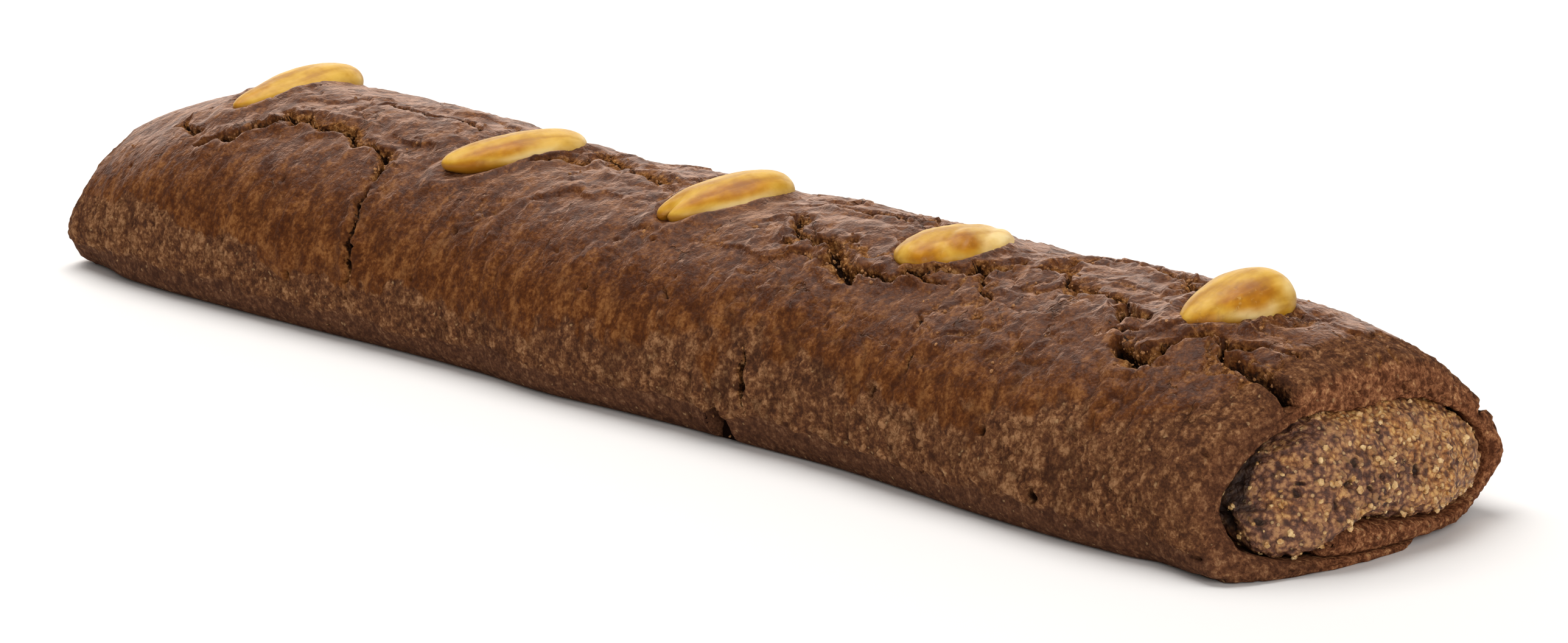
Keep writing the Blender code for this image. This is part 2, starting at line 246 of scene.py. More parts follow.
def split_cells(p, size, shift):
    """The whole-numbered cell each point lies in, and its place in that cell."""
    q = np.asarray(p, np.float64) / np.asarray(size, float) + shift
    cell = np.floor(q).astype(np.int64)
    return cell, (q - cell).astype(np.float32)


def picked(table, cell, salt, shift):
    """A row of the table for each cell, always the same one for the same cell and salt."""
    key = (cell[:, 0] * 73856093) ^ (cell[:, 1] * 19349663) ^ (cell[:, 2] * 83492791) ^ salt
    return table[(key ^ (key >> shift)) & (len(table) - 1)]


def noise(p, size, seed=0):
    """Smooth gradient noise between about -1 and 1, with features of one or three given sizes."""
    cell, f = split_cells(p, size, 17.3 * seed)
    u = f * f * f * (f * (f * 6 - 15) + 10)
    total = np.zeros(len(f), np.float32)
    for corner in product((0, 1), repeat=3):
        step = np.array(corner[::-1])
        weight = np.prod(np.where(step, u, 1 - u), axis=1)
        slope = picked(GRADIENTS, cell + step, seed * 2654435761, 13)
        total += weight * np.einsum("ij,ij->i", slope, f - step.astype(np.float32))
    return total * 1.7


def cells(p, size, seed=0):
    """Distance to the nearest and next nearest of scattered points, in sizes, and a value per cell."""
    cell, f = split_cells(p, size, 5.7 * seed)
    first = np.full(len(f), 9.0, np.float32)
    second = first.copy()
    owner = np.zeros(len(f), np.float32)
    for step in product((-1, 0, 1), repeat=3):
        point = picked(JITTER, cell + step, seed * 40503, 11)
        away = np.linalg.norm(point + np.array(step, np.float32) - f, axis=1)
        closer = away < first
        second = np.where(closer, first, np.minimum(second, away))
        owner = np.where(closer, point[:, 0], owner)
        first = np.where(closer, away, first)
    return first, second, owner


def pores(p, size, seed, radius, larger, rare):
    """Round pores: their radius in sizes, how much larger some are, and the share of cells without one."""
    first, _, owner = cells(p, size, seed)
    return ease(1 - first / (radius + larger * owner)) * (owner > rare)


def layered(p, size, seed, octaves=3, fade=0.5):
    """Noise with finer and weaker noise on top."""
    total, weight = 0.0, 0.0
    for k in range(octaves):
        total = total + noise(p, np.asarray(size) / 2**k, seed + k) * fade**k
        weight += fade**k
    return total / weight


def wander(p, size, seeds):
    """Ways that wander from place to place, one seed for each direction."""
    return np.stack([noise(p, size, seed) for seed in seeds], axis=1)


# ---- the dough sheet

FOOT_RUN = 43.3  # distance along the outside from the sheet's free edge to the front foot
CRUST_STEP, FINEST_STEP, BASE_STEP, THIN_STEP = 0.32, 0.02, 1.5, 0.9
INSIDE_COUNT, EDGE_COUNT = 220, 12
FREE_ROOM = 20.0  # the room ahead of a point that looks out on nothing
# Steps between rings along the bar.
RING_STEPS = ((-133.5, 0.45), (-125.5, 0.4), (0, 0.38), (113.5, 0.33), (125.5, 0.3), (133.5, 0.3))
RIM_DEEPEST, RIM_POWER, RIM_SHARE = 0.475, 1.15, 0.42
CRUST_END = 92.0  # how far round the thick rim goes
THIN_LAYER_SHORT = 3.6  # how far the layer under the filling stops short of the ends
THIN_LAYER_START = -12.0


def sheet_profile(inside, edge):
    """The sheet's closed outline with, for each point, the way into the dough, the room there, the distance
    run from the front foot, and whether it lies outside."""
    crust = curve(OUTSIDE, FINEST_STEP)
    crust[:, 1] = np.maximum(crust[:, 1], 0)
    upper = crust[np.argmin(np.hypot(*(crust - np.array(OUTSIDE[2])).T)):]
    upper = resampled(upper, int(run_of(upper)[-1] / CRUST_STEP))
    base = curve(OUTSIDE[:3], BASE_STEP)[:-1]
    base[:, 1] = 0
    parts = [base, upper, curve(TUCK_UNDERSIDE, THIN_STEP), curve(edge, 0, count=EDGE_COUNT)]
    parts += [curve(inside, 0, count=INSIDE_COUNT), curve(FREE_EDGE_TOP, THIN_STEP)]
    outline = np.concatenate(parts)
    index = np.arange(len(outline))
    outside = index < len(base) + len(upper)
    ends = np.roll(outline, -1, axis=0)
    along = ends - np.roll(outline, 1, axis=0)
    inward = np.stack([along[:, 1], -along[:, 0]], axis=1)
    inward /= np.linalg.norm(inward, axis=1)[:, None]
    side = ends - outline
    room = np.full(len(outline), FREE_ROOM)
    for i in index:
        det = crossed(side, inward[i])
        gap = outline - outline[i]
        with np.errstate(divide="ignore", invalid="ignore"):
            ahead, share = crossed(side, gap) / det, crossed(inward[i], gap) / det
        hit = (np.abs(det) > 1e-9) & (ahead > 1e-4) & (share > -1e-6) & (share < 1 + 1e-6)
        hit &= (index != i) & ((index + 1) % len(outline) != i)
        if hit.any():
            room[i] = ahead[hit].min()
    far_side = sum(len(part) for part in parts[:3]) + len(parts[3]) // 2
    return outline, inward, room, run_of(outline) - FOOT_RUN, outside, far_side


def sheet_grid():
    """The rolled sheet as rings of points, before its crust is shaped: the points, their places along X, how
    far each is turned in at an end, and the distance run, the outside and the far side of every ring."""
    half = LENGTH / 2
    profiles = {
        FAR: sheet_profile(INSIDE, TUCK_EDGE), NEAR: sheet_profile(INSIDE_AT_NEAR, TUCK_EDGE_AT_NEAR),
    }
    _, _, _, run, outside, far_side = profiles[FAR]
    shares = np.linspace(0, 1, RIM_RINGS) ** RIM_POWER
    last = len(run) - len(curve(FREE_EDGE_TOP, THIN_STEP))
    thin_layer = (run < THIN_LAYER_START) | (np.arange(len(run)) >= last)
    rows, places, tucks = [], [], []

    def add(x, points, outline, shortened, share):
        row = placed(x, points)
        row[:, 0] -= shortened * (THIN_LAYER_SHORT * thin_layer * rising(outline[:, 0], 1, 11))
        rows.append(row)
        places.append(np.broadcast_to(x, run.shape))
        tucks.append(np.full(len(run), share))

    def rim(end):
        outline, inward, room = profiles[end][:3]
        radius = np.minimum(np.where(outside & (run < CRUST_END), RIM_OUTER, RIM_INNER), RIM_SHARE * room)
        for share in shares[::-1] if end == FAR else shares:
            travel = RIM_DEEPEST * room * share
            still_round = np.maximum(radius - travel, 0)
            depth = radius - np.sqrt(np.maximum(radius**2 - still_round**2, 0))
            add(end * (half - depth), outline + inward * travel[:, None], outline, end, share)

    rim(FAR)
    for x in spaced(RING_STEPS):
        opened = ease((x - half + 14) / 9)
        outline = profiles[FAR][0] * (1 - opened) + profiles[NEAR][0] * opened
        add(x, outline, outline, np.sign(x) * ease((abs(x) - half + 16) / 12), 0.0)
    rim(NEAR)
    return np.array(rows), np.array(places), np.array(tucks), run, outside, far_side


# ---- the baked crust

# Splits in the crust: width at each end, depth, how steadily it gapes, reach of the broken crumb beside it,
# and its run over the skin as (place along X, distance round from the front foot).
SPLITS = (
    # the far half
    ((0.6, 0.8), 1.6, 0.3, 1.8, ((-119.0, 32.9), (-112.7, 30.0), (-108.3, 28.8), (-107.1, 29.4))),
    ((1.0, 1.2), 2.2, 0.35, 1.3, ((-104.7, 25.5), (-102.3, 26.8), (-99.6, 28.1), (-96.4, 28.8),
        (-94.8, 31.7), (-93.2, 32.9), (-88.5, 35.5))),
    ((0.9, 1.2), 2.4, 0.45, 1.7, ((-94.0, 37.4), (-91.3, 36.2), (-88.5, 35.5), (-87.7, 36.8), (-81.4, 35.2),
        (-79.5, 36.2), (-76.3, 36.8), (-73.2, 35.2), (-70.5, 32.9), (-68.9, 34.2), (-63.4, 33.6),
        (-61.5, 32.3), (-60.3, 30.0), (-59.1, 26.5))),
    ((1.1, 1.4), 2.8, 0.9, 0.4, ((-58.8, 24.9), (-57.6, 21.0), (-56.8, 19.8), (-56.8, 16.2), (-55.6, 14.9),
        (-55.6, 13.3), (-54.5, 12.4), (-54.5, 11.1), (-55.3, 9.8))),
    ((0.6, 0.6), 1.0, 0.5, 0.6, ((-81.4, 45.5), (-79.1, 47.4), (-74.0, 47.1), (-68.9, 46.8), (-65.4, 48.7),
        (-59.5, 48.7), (-55.3, 47.1))),
    ((0.9, 0.9), 1.4, 0.4, 1.5, ((-36.7, 41.3), (-34.7, 43.6), (-33.6, 46.8), (-29.0, 46.5), (-29.7, 49.3),
        (-31.3, 53.5))),
    ((0.9, 0.8), 1.5, 0.35, 2.2, ((-32.4, 54.2), (-27.0, 50.6), (-24.0, 50.0), (-19.0, 47.1), (-15.2, 46.1),
        (-12.9, 46.8), (-6.8, 44.2))),
    # the middle, from almond 3 to almond 4
    ((0.9, 1.0), 1.6, 0.5, 0.9, ((21.8, 52.2), (26.6, 49.7), (33.6, 51.6), (41.2, 50.6))),
    ((1.1, 1.3), 2.2, 0.45, 2.0, ((21.8, 44.2), (27.0, 40.0), (29.9, 37.4), (33.6, 36.2), (36.1, 35.8),
        (39.4, 37.1))),
    ((0.6, 0.6), 1.4, 0.2, 1.8, ((28.8, 34.2), (31.4, 34.2), (31.0, 36.2))),
    ((1.7, 1.5), 2.5, 0.75, 1.9, ((39.4, 37.1), (40.1, 34.9), (41.2, 32.9), (43.7, 32.0), (46.3, 31.0),
        (49.1, 29.1))),
    ((1.2, 0.8), 2.0, 0.5, 1.0, ((45.9, 31.3), (48.1, 32.0), (55.2, 32.0), (56.3, 33.9), (58.0, 35.8),
        (61.9, 37.1), (64.4, 38.7), (64.7, 41.0), (68.6, 42.3), (70.4, 45.5))),
    ((0.9, 0.6), 1.5, 0.5, 1.2, ((55.2, 32.0), (58.4, 34.6), (61.6, 33.9), (63.7, 34.9))),
    ((0.7, 0.5), 1.2, 0.4, 1.0, ((63.0, 42.3), (66.2, 40.7), (68.6, 37.8), (70.0, 35.5), (72.4, 34.9),
        (74.5, 34.6))),
    ((0.8, 0.6), 1.4, 0.4, 1.1, ((40.1, 36.5), (40.1, 38.7), (41.9, 38.1))),
    # the near half, round almond 5
    ((0.9, 1.2), 2.0, 0.4, 2.4, ((73.1, 43.6), (76.3, 46.5), (80.7, 44.2), (82.1, 41.6), (86.2, 41.3),
        (92.4, 40.7), (95.4, 39.7))),
    ((1.4, 1.2), 2.3, 0.85, 1.4, ((95.4, 39.7), (96.8, 37.8), (98.1, 36.5), (100.1, 33.9))),
    ((0.9, 0.7), 1.6, 0.4, 1.0, ((97.4, 37.1), (100.8, 36.5), (103.1, 36.5))),
    ((1.3, 1.3), 1.8, 0.55, 1.3, ((68.6, 56.7), (73.1, 55.1), (80.4, 55.5), (88.3, 55.1), (93.4, 52.6))),
    ((1.0, 1.5), 1.8, 0.35, 2.6, ((89.6, 54.2), (94.1, 52.6), (98.1, 50.3), (101.1, 47.7))),
    ((0.6, 0.7), 1.2, 0.3, 1.2, ((98.8, 31.7), (100.8, 32.9), (104.1, 33.3))),
    ((1.9, 1.2), 2.8, 0.85, 1.9, ((101.5, 30.7), (103.8, 29.4), (105.8, 28.8), (108.5, 28.1),
        (112.1, 28.4))),
    ((1.0, 0.9), 1.9, 0.5, 2.0, ((112.1, 28.4), (110.8, 30.7), (111.1, 32.6), (112.8, 34.2), (114.8, 35.8),
        (117.0, 37.8))),
    ((1.2, 1.2), 2.8, 0.8, 1.0, ((117.3, 37.8), (119.9, 36.5), (121.1, 34.6), (122.1, 33.9))),
    ((1.0, 0.4), 1.6, 0.5, 1.1, ((120.2, 36.5), (122.4, 36.8), (123.6, 38.1), (125.1, 40.0), (129.3, 40.3),
        (130.2, 42.3), (132.0, 41.6))),
    ((1.4, 2.5), 4.2, 1.0, 0.45, ((121.8, 34.0), (126.6, 33.9), (130.8, 34.0), (132.9, 34.0), (135.3, 33.7),
        (137.1, 33.4), (141.0, 32.8))),
    # short slits, the fold behind the near end, the notch in the foot and fine cracks down the front
    ((0.7, 0.6), 1.3, 0.9, 0.3, ((-27.8, 23.3), (-26.7, 21.7))),
    ((0.9, 0.7), 1.5, 0.9, 0.3, ((15.5, 21.0), (17.0, 20.1))),
    ((0.6, 0.6), 1.3, 0.7, 0.5, ((65.5, 27.2), (66.9, 25.5), (66.9, 23.9))),
    ((0.6, 0.6), 0.9, 1.0, 0.2, ((141.0, 77.2), (137.4, 78.6), (135.8, 80.6), (133.0, 81.4))),
    ((3.2, 4.4), 5.0, 1.0, 0.2, ((30.9, 5.6), (30.9, 4.6), (31.0, 1.1), (31.0, -3.0))),
    ((0.6, 0.6), 1.4, 0.6, 0.6, ((35.8, 15.9), (36.5, 12.7), (36.5, 10.1), (38.0, 6.6))),
    ((0.5, 0.6), 1.2, 0.5, 0.6, ((69.3, 21.7), (69.7, 19.1), (70.0, 17.5))),
)
# Round holes: place, radius and depth.
HOLES = (
    ((64.1, -28.6, 14.3), 1.2, 2.6), ((131.7, 9.2, 20.9), 0.9, 2.4), ((131.5, 14.4, 19.0), 0.7, 1.8),
    ((132.0, -1.5, 21.6), 0.7, 1.6), ((-69.6, -29.6, 9.4), 0.8, 1.4), ((6.1, -18.4, 25.3), 0.6, 1.6),
    ((99.0, -30.8, 6.2), 1.1, 1.8), ((88.0, -29.4, 13.0), 0.8, 1.6), ((12.1, -21.4, 23.4), 0.5, 1.2),
    ((131.2, 17.4, 17.4), 0.8, 1.8),
)


GLAZE_LINE = (
    (-138, 16.5), (-126, 15.0), (-112, 16.0), (-98, 12.5), (-84, 12.0), (-70, 8.5), (-56, 9.0), (-40, 12.0),
    (-20, 11.0), (0, 12.0), (25, 14.0), (50, 15.0), (80, 15.0), (110, 18.0), (138, 26.0),
)
GLAZE_SOFTNESS, GLAZE_PATCHES = ((-60, 1.0), (20, 7.0)), ((-60, 5.0), (20, 14.0))
RUGGED = (
    (-138, 0.25), (-122, 0.35), (-100, 0.6), (-60, 0.85), (-20, 0.8), (10, 0.9), (40, 1.1), (108, 1.1),
    (124, 0.7), (138, 0.5),
)
TAN_SHARE = (
    (-138, -0.1), (-124, 0.22), (-108, 0.22), (-90, 0.08), (-40, 0.02), (0, 0.08), (30, 0.16), (80, 0.20),
    (120, 0.12), (134, -0.3),
)
SEAMS = ((-138, -0.4), (0, 0.1), (60, 0.6), (138, 0.6))
BACK_FOOT = 98.0
RIFT_REACH = 2.5  # how far from a split its edge is still described
# Lumps of the crust: their size along the bar, round it and through it, and seed.
PLATES, SMALL_PLATES = ((9.5, 6.0, 7.0), 71), ((4.2, 3.0, 3.0), 72)
WAVES, SMALL_WAVES = ((4.2, 9.0, 7.0), 73), ((2.1, 3.6, 3.0), 74)
HUMPS, NUBS = ((3.4, 5.0, 4.0), 75), ((1.5, 1.2, 1.2), 77)
SEAM_PLATES, SEAM_WIDTH = (10.5, 7.0, 9.0), 0.055
WALL_RISE, WALL_WIDTH = 0.75, 1.3  # the dough pushed up round an almond


def along_run(x, s, run):
    """Distance of skin places from a run of points, the side they lie on, and how far along it they are."""
    points = np.array(run, float)
    best, side, reached = np.full(len(x), 99.0), np.zeros(len(x)), np.zeros(len(x))
    gone = 0.0
    for a, b in zip(points, points[1:]):
        leg = math.dist(a, b)
        way = (b - a) / leg
        along = np.clip((x - a[0]) * way[0] + (s - a[1]) * way[1], 0, leg)
        dx, ds = x - a[0] - along * way[0], s - a[1] - along * way[1]
        away = np.hypot(dx, ds)
        closer = away < best
        best = np.where(closer, away, best)
        side = np.where(closer, np.where(way[0] * ds - way[1] * dx < 0, -1.0, 1.0), side)
        reached = np.where(closer, gone + along, reached)
        gone += leg
    return best, side, reached, gone


def lumps(p, size, seed, soft=0.10):
    """Rounded lumps with creases between them: near 0 in a crease, up to about 1 on a lump."""
    return np.minimum(np.sqrt(noise(p, size, seed) ** 2 + soft**2) * 1.8, 1.2)


def clods(p, size, seed):
    """Rounded clods packed together: up to 1 on top of a clod, 0 between them."""
    first, second, owner = cells(p, size, seed)
    dome = np.sqrt(np.clip(1 - (first / 0.80) ** 2, 0, 1))
    return dome * (0.45 + 0.55 * owner) * ease((second - first) / 0.16)


def torn_face(p):
    """The rough crumb of the sheet's cut ends: how far it is raised, and its pores."""
    way = wander(p, 1.7, (401, 402, 403))
    pore = pores(p + 0.4 * way, 2.4, 405, 0.09, 0.15, 0.45)
    height = 0.40 * layered(p, 5.0, 407, octaves=2) + 0.26 * (clods(p + 0.4 * way, 1.7, 411) - 0.35)
    height += 0.20 * (clods(p + 0.3 * way, 0.85, 413) - 0.35) + 0.20 * noise(p, 1.2, 415)
    return height - 0.85 * pore, pore


def crust_relief(p, x, s, tuck, outside):
    """How far each point of the crust is raised (mm), as height, what it is made of there, and the shade
    painted into its creases, cracks and recesses.
    """
    none = np.zeros_like(x)
    skin = np.stack([x, s, none], axis=1)
    warp = np.stack([layered(p, 8.0, 11), layered(p, 8.0, 15), none], axis=1)
    fine_warp = np.stack([noise(p, 2.1, 21), noise(p, 2.1, 22), none], axis=1)
    bent = skin + 2.6 * warp + 0.5 * fine_warp
    low = np.minimum(s, BACK_FOOT - s)
    end_face = rising(tuck, 0.10, 0.4)
    upper = rising(low, 24, 12)
    flank = 1 - rising(low, 10, 8)
    shoulder = rising(low, 10, 8) * (1 - upper)
    strip = 1 - ease((low - 4.4 - 2.2 * layered(skin, (9.0, 5.0, 5.0), 31)) / 0.8)
    rugged = at(x, RUGGED) * (0.75 + 0.6 * noise(skin, 17.0, 33))

    patchy = layered(bent, (9.0, 11.0, 9.0), 41, octaves=5, fade=0.65)
    above = low - at(x, GLAZE_LINE) + at(x, GLAZE_PATCHES) * patchy
    glaze = ease(0.5 + above / at(x, GLAZE_SOFTNESS))
    glaze *= 1 - ease((x - 129.0 + 3.0 * patchy) / 2.5)
    glaze *= 1 - ease((-x - 134.5 + 2.0 * patchy) / 2.0)
    glaze *= (1 - end_face) * (1 - strip)

    more = at(x, TAN_SHARE) - 0.35 * rising(low, 16, 9)
    tan = ease((layered(bent, (3.2, 4.6, 5.0), 51, octaves=4, fade=0.8) + more - 0.10) / 0.22)
    tan = tan * rising(low, 4.0, 2) * (1 - rising(low, 26, 6)) * (1 - 0.6 * glaze)

    # broad swells
    height = 0.34 * layered(p, 21.0, 61, octaves=2)
    height = height + 0.32 * noise(bent, (10.0, 8.0, 7.0), 63) * (0.3 + upper)

    # lumps and creases: plates on top, wavelets round the shoulder, small clods on the flank
    plates, small_plates = lumps(bent, *PLATES), lumps(bent, *SMALL_PLATES)
    waves, small_waves, humps = lumps(bent, *WAVES), lumps(bent, *SMALL_WAVES), lumps(bent, *HUMPS)
    relief = upper * (0.50 * plates + 0.26 * small_plates)
    relief = relief + shoulder * (0.60 * waves + 0.32 * small_waves)
    relief += flank * (1 - 0.8 * strip) * 0.48 * humps
    relief += (1 - 0.7 * strip) * 0.22 * lumps(p + 0.5 * fine_warp, *NUBS)
    height += rugged * relief * (1 - 0.7 * end_face) - 0.45 * rugged
    high = upper * np.minimum(plates * 1.5, 0.4 + small_plates)
    high = high + shoulder * np.minimum(waves, 0.3 + small_waves) + flank * humps
    # painted shade in the creases between the lumps
    crease = np.clip(1 - (high - 0.16) / 0.16, 0, 1) * np.clip(rugged, 0, 1) * (1 - strip) * (1 - end_face)

    # hairline seams between the plates of the upper crust
    first, second, owner = cells(skin + 5.0 * warp + 1.2 * fine_warp, SEAM_PLATES, 81)
    seamed = ease(layered(skin, 13.0, 83) * 2.0 + at(x, SEAMS)) * rising(low, 20, 8)
    groove = hump(second - first, SEAM_WIDTH) * seamed
    height += upper * 0.85 * (owner - 0.5) * rugged - 0.5 * groove

    # pores and pits
    pore = pores(skin + 0.3 * fine_warp, 2.3, 91, 0.22, 0.0, 0.74) * (1 - strip)
    pit = pores(skin + 0.4 * fine_warp, 4.3, 93, 0.06, 0.11, 0.66)
    height -= 0.4 * pore * (0.5 + 0.5 * upper) + 1.1 * pit * (1 - upper)

    # rough crumb where the glaze is missing
    crumbly = clods(p + 0.35 * fine_warp, 1.35, 101) - 0.4 + 0.6 * noise(p, 0.9, 103)
    height += (1 - glaze) * (0.24 + 0.14 * tan) * crumbly * (1 - 0.75 * strip)
    height += 0.20 * tan + 0.10 * glaze - 0.30 * strip

    # dough pushed up round the almonds
    for x_nut, y_nut, length, width, _, turn, _, _ in ALMONDS:
        cos, sin = math.cos(math.radians(turn)), math.sin(math.radians(turn))
        dx, dy = p[:, 0] - x_nut, p[:, 1] - y_nut
        reach = np.hypot((dx * cos - dy * sin) / (width / 2), (dx * sin + dy * cos) / (length / 2))
        height += WALL_RISE * hump((reach - 1.02) * width / 2, WALL_WIDTH) * (low > 20)
    for x_swell, y_swell, reach, rise in SWELLS:
        away = (p[:, 0] - x_swell) ** 2 + (p[:, 1] - y_swell) ** 2
        height += rise * np.exp(-away / reach**2) * (low > 20)

    # towards the cut ends and inside them everything gives way to torn crumb
    cut = np.where(outside, rising(tuck, 0.25, 0.5), 1.0)
    torn_height, torn_pore = torn_face(p)
    ragged = rising(p[:, 2], 9, 4) * ease((x - LENGTH / 2 + 7) / 3)
    ragged = ragged * (1 - outside) * (1 - rising(tuck, 0.3, 0.5))
    torn_height = torn_height + ragged * (0.40 * noise(p, 2.6, 421) + 0.30 * noise(p, 1.2, 422))
    height += cut * (torn_height * np.where(outside, 0.8, 0.5 + 0.5 * rising(tuck, 0.15, 0.5)) - height)
    # painted shade in the seams, pits and pores, and in the torn crumb's pores at the cut ends
    deep = np.clip(0.3 * groove + 0.8 * pit + 0.3 * pore, 0, 1)
    deep += cut * (0.75 * torn_pore - deep)
    front = ease((-10 - p[:, 1]) / 8) * (x > 0)
    on = {
        "glaze": glaze * (1 - cut), "tan": tan * (1 - cut), "crumb": np.clip(groove * 0.8, 0, 1) * (1 - cut),
        "deep": deep, "strip": np.maximum(strip * (1 - cut), 0.7 * front * cut),
        "end_face": np.maximum(end_face, cut) * (1 - 0.8 * front), "crease": crease * (1 - cut),
        "gloss": rising(low, 13, 15) * (1 - cut), "rift": np.full_like(x, RIFT_REACH),
        "gape": np.full_like(x, -1.0), "height": height,
    }
    open_splits(on, p, x, s)
    sink_holes(on, p)
    on["glaze"] *= 1 - np.clip(on["crumb"], 0, 1)
    # painted shade on the sheet's inner faces, away from its ends
    hidden = (1 - outside) * ease((LENGTH / 2 - 1.5 - np.abs(x)) / 2.5)
    on["deep"] = np.maximum(on["deep"], 0.75 * hidden)
    return on


def open_splits(on, p, x, s):
    """Opens the splits in the crust, with raised, broken lips and crumb beside them, and paints shade into
    their cores and into the hollows of the crumb.
    """
    wobble = [0.75 * noise(p, 2.4, k) + 0.35 * noise(p, 1.0, k + 1) for k in (161, 163)]
    for k, (widths, depth, steady, crumbly, run) in enumerate(SPLITS):
        corner, far_corner = np.min(run, axis=0) - 6, np.max(run, axis=0) + 6
        close = (x > corner[0]) & (x < far_corner[0]) & (s > corner[1]) & (s < far_corner[1])
        q = p[close]
        calm = 0.35 if steady > 0.95 else 1.0
        place = [v[close] + calm * w[close] for v, w in zip((x, s), wobble)]
        away, side, reached, total = along_run(*place, run)
        present = steady + (1 - steady) * np.clip(0.4 + 1.6 * noise(q, 4.0, 120 + k), 0, 1)
        ends = ease(0.15 + np.minimum(reached, total - reached) / 1.6)
        half = 0.5 * (widths[0] + (widths[1] - widths[0]) * reached / total) * ends
        half *= present * (1.0 + calm * 0.6 * noise(q, 2.6, 220 + k))
        core = ease((half + 0.30 - away) / 0.55) * present
        band = crumbly * np.clip(0.6 + 1.2 * noise(q, 5.0, 140 + k), 0.05, 1.5) * ends + 0.15
        zone = ease(1 - (away - half) / band) * min(1.0, crumbly) * ends
        broken = 0.75 * layered(q, 2.2, 115, octaves=3, fade=0.8) + 0.45 * (clods(q, 1.15, 116) - 0.4)
        lip = 0.45 * hump(away - half - band - 0.4, 1.0) * min(1.0, widths[0]) * ends
        on["height"][close] += lip - depth * core + zone * (broken - 0.55) * min(1.0, crumbly)
        on["crumb"][close] = np.maximum(on["crumb"][close], zone)
        # painted shade in the split's core and in the hollows of its broken crumb
        shade = np.maximum(0.9 * core, zone * ease((-broken - 0.25) / 0.3))
        on["deep"][close] = np.maximum(on["deep"][close], shade)
        nearest = away < np.abs(on["rift"][close])
        on["rift"][close] = np.where(nearest, side * away, on["rift"][close])
        wide = np.maximum(half, 0.14 * (present > 0.15)) * ends - 0.4 * (1 - ends)
        wide = wide - 0.5 * rising(away, 1.5, 0.7)
        on["gape"][close] = np.where(nearest, wide, on["gape"][close])


def sink_holes(on, p):
    """Sinks the round holes, each with a slight rim and painted shade inside."""
    for middle, radius, depth in HOLES:
        away = np.linalg.norm(p - np.array(middle), axis=1)
        close = away < radius * 3
        away = away[close]
        bowl = ease(1 - (away - 0.55 * radius) / (0.7 * radius))
        on["height"][close] += 0.2 * hump(away / radius - 1.5, 0.5) - depth * bowl
        # painted shade inside the hole
        dark = ease(1 - (away - 0.65 * radius) / (0.45 * radius))
        on["deep"][close] = np.maximum(on["deep"][close], dark)
        on["crumb"][close] *= 1 - bowl


# ---- meshes

def grid_normals(rows):
    """Outward normals of a grid of rings."""
    around = np.roll(rows, -1, axis=1) - np.roll(rows, 1, axis=1)
    normal = np.cross(np.gradient(rows, axis=0), around)
    return normal / np.maximum(np.linalg.norm(normal, axis=2), 1e-9)[..., None]


def zipped(flat, far_side):
    """Triangles across a thin closed outline, zipping one side to the other, which starts at far_side."""
    one, other = list(range(far_side)), list(range(len(flat) - 1, far_side - 1, -1))
    i = j = 0
    found = []
    while i < len(one) - 1 or j < len(other) - 1:
        a, b = one[i], other[j]
        along = math.dist(flat[one[i + 1]], flat[b]) if i < len(one) - 1 else math.inf
        along_other = math.dist(flat[a], flat[other[j + 1]]) if j < len(other) - 1 else math.inf
        if along <= along_other:
            found.append((a, one[i + 1], b))
            i += 1
        else:
            found.append((a, other[j + 1], b))
            j += 1
    return found


def mesh_from_rings(name, rows, flat_ends, attributes, far_side=None):
    """A closed skin over rings of points (mm), its ends filled across."""
    count, around = rows.shape[:2]
    index = np.arange(count * around).reshape(count, around)
    turned = np.roll(index, -1, axis=1)
    quads = np.stack([index[:-1], index[1:], turned[1:], turned[:-1]], axis=-1).reshape(-1, 4)
    triangles = []
    for ring, flat, first in ((index[0], flat_ends[0], True), (index[-1], flat_ends[1], False)):
        if far_side:
            triangles += [ring[list(tri if first else tri[::-1])] for tri in zipped(flat, far_side)]
            continue
        for tri in tessellate_polygon([[Vector((a, b, 0)) for a, b in flat]]):
            a, b, c = (flat[i] for i in tri)
            turn = crossed(b - a, c - a)
            triangles.append(ring[list(tri if (turn > 0) != first else tri[::-1])])
    triangles = np.array(triangles)
    mesh = bpy.data.meshes.new(name)
    mesh.vertices.add(count * around)
    mesh.vertices.foreach_set("co", (rows.reshape(-1, 3) * MM).astype(np.float32).ravel())
    corners = np.concatenate([quads.ravel(), triangles.ravel()])
    starts = np.concatenate([np.arange(len(quads)) * 4, len(quads) * 4 + np.arange(len(triangles)) * 3])
    mesh.loops.add(len(corners))
    mesh.loops.foreach_set("vertex_index", corners.astype(np.int32))
    mesh.polygons.add(len(starts))
    mesh.polygons.foreach_set("loop_start", starts.astype(np.int32))
    mesh.polygons.foreach_set("use_smooth", np.ones(len(starts), bool))
    mesh.update(calc_edges=True)
    mesh.validate()
    for key, values in attributes.items():
        kind, part = ("FLOAT", "value") if values.ndim == 1 else ("FLOAT_VECTOR", "vector")
        layer = mesh.attributes.new(key, kind, "POINT")
        layer.data.foreach_set(part, values.astype(np.float32).ravel())
    return mesh


def new_object(name, data):
    """A new object in the scene."""
    obj = bpy.data.objects.new(name, data)
    bpy.context.scene.collection.objects.link(obj)
    return obj


def worked_out(obj, name):
    """The object's mesh with its modifiers applied; the object itself goes."""
    mesh = bpy.data.meshes.new_from_object(obj.evaluated_get(bpy.context.evaluated_depsgraph_get()))
    bpy.data.objects.remove(obj)
    mesh.name = name
    return mesh


def fewer_faces(mesh, name, triangles):
    """The mesh with its flat stretches simplified down to a number of triangles."""
    obj = new_object(name, mesh)
    mesh.calc_loop_triangles()
    thin = obj.modifiers.new("fewer faces", "DECIMATE")
    thin.ratio = min(1.0, triangles / len(mesh.loop_triangles))
    result = worked_out(obj, name)
    bpy.data.meshes.remove(mesh)
    return result


CRUST_TRIANGLES, PASTE_TRIANGLES = 188000, 90000
CRUST_FROM, CRUST_TO, END_CRUST = -1.5, 101, 9  # how far round, and in from the ends, the crust is shaped
UNSHAPED = {"end_face": 1.0, "rift": RIFT_REACH, "gape": -1.0}  # what the hidden inside is made of


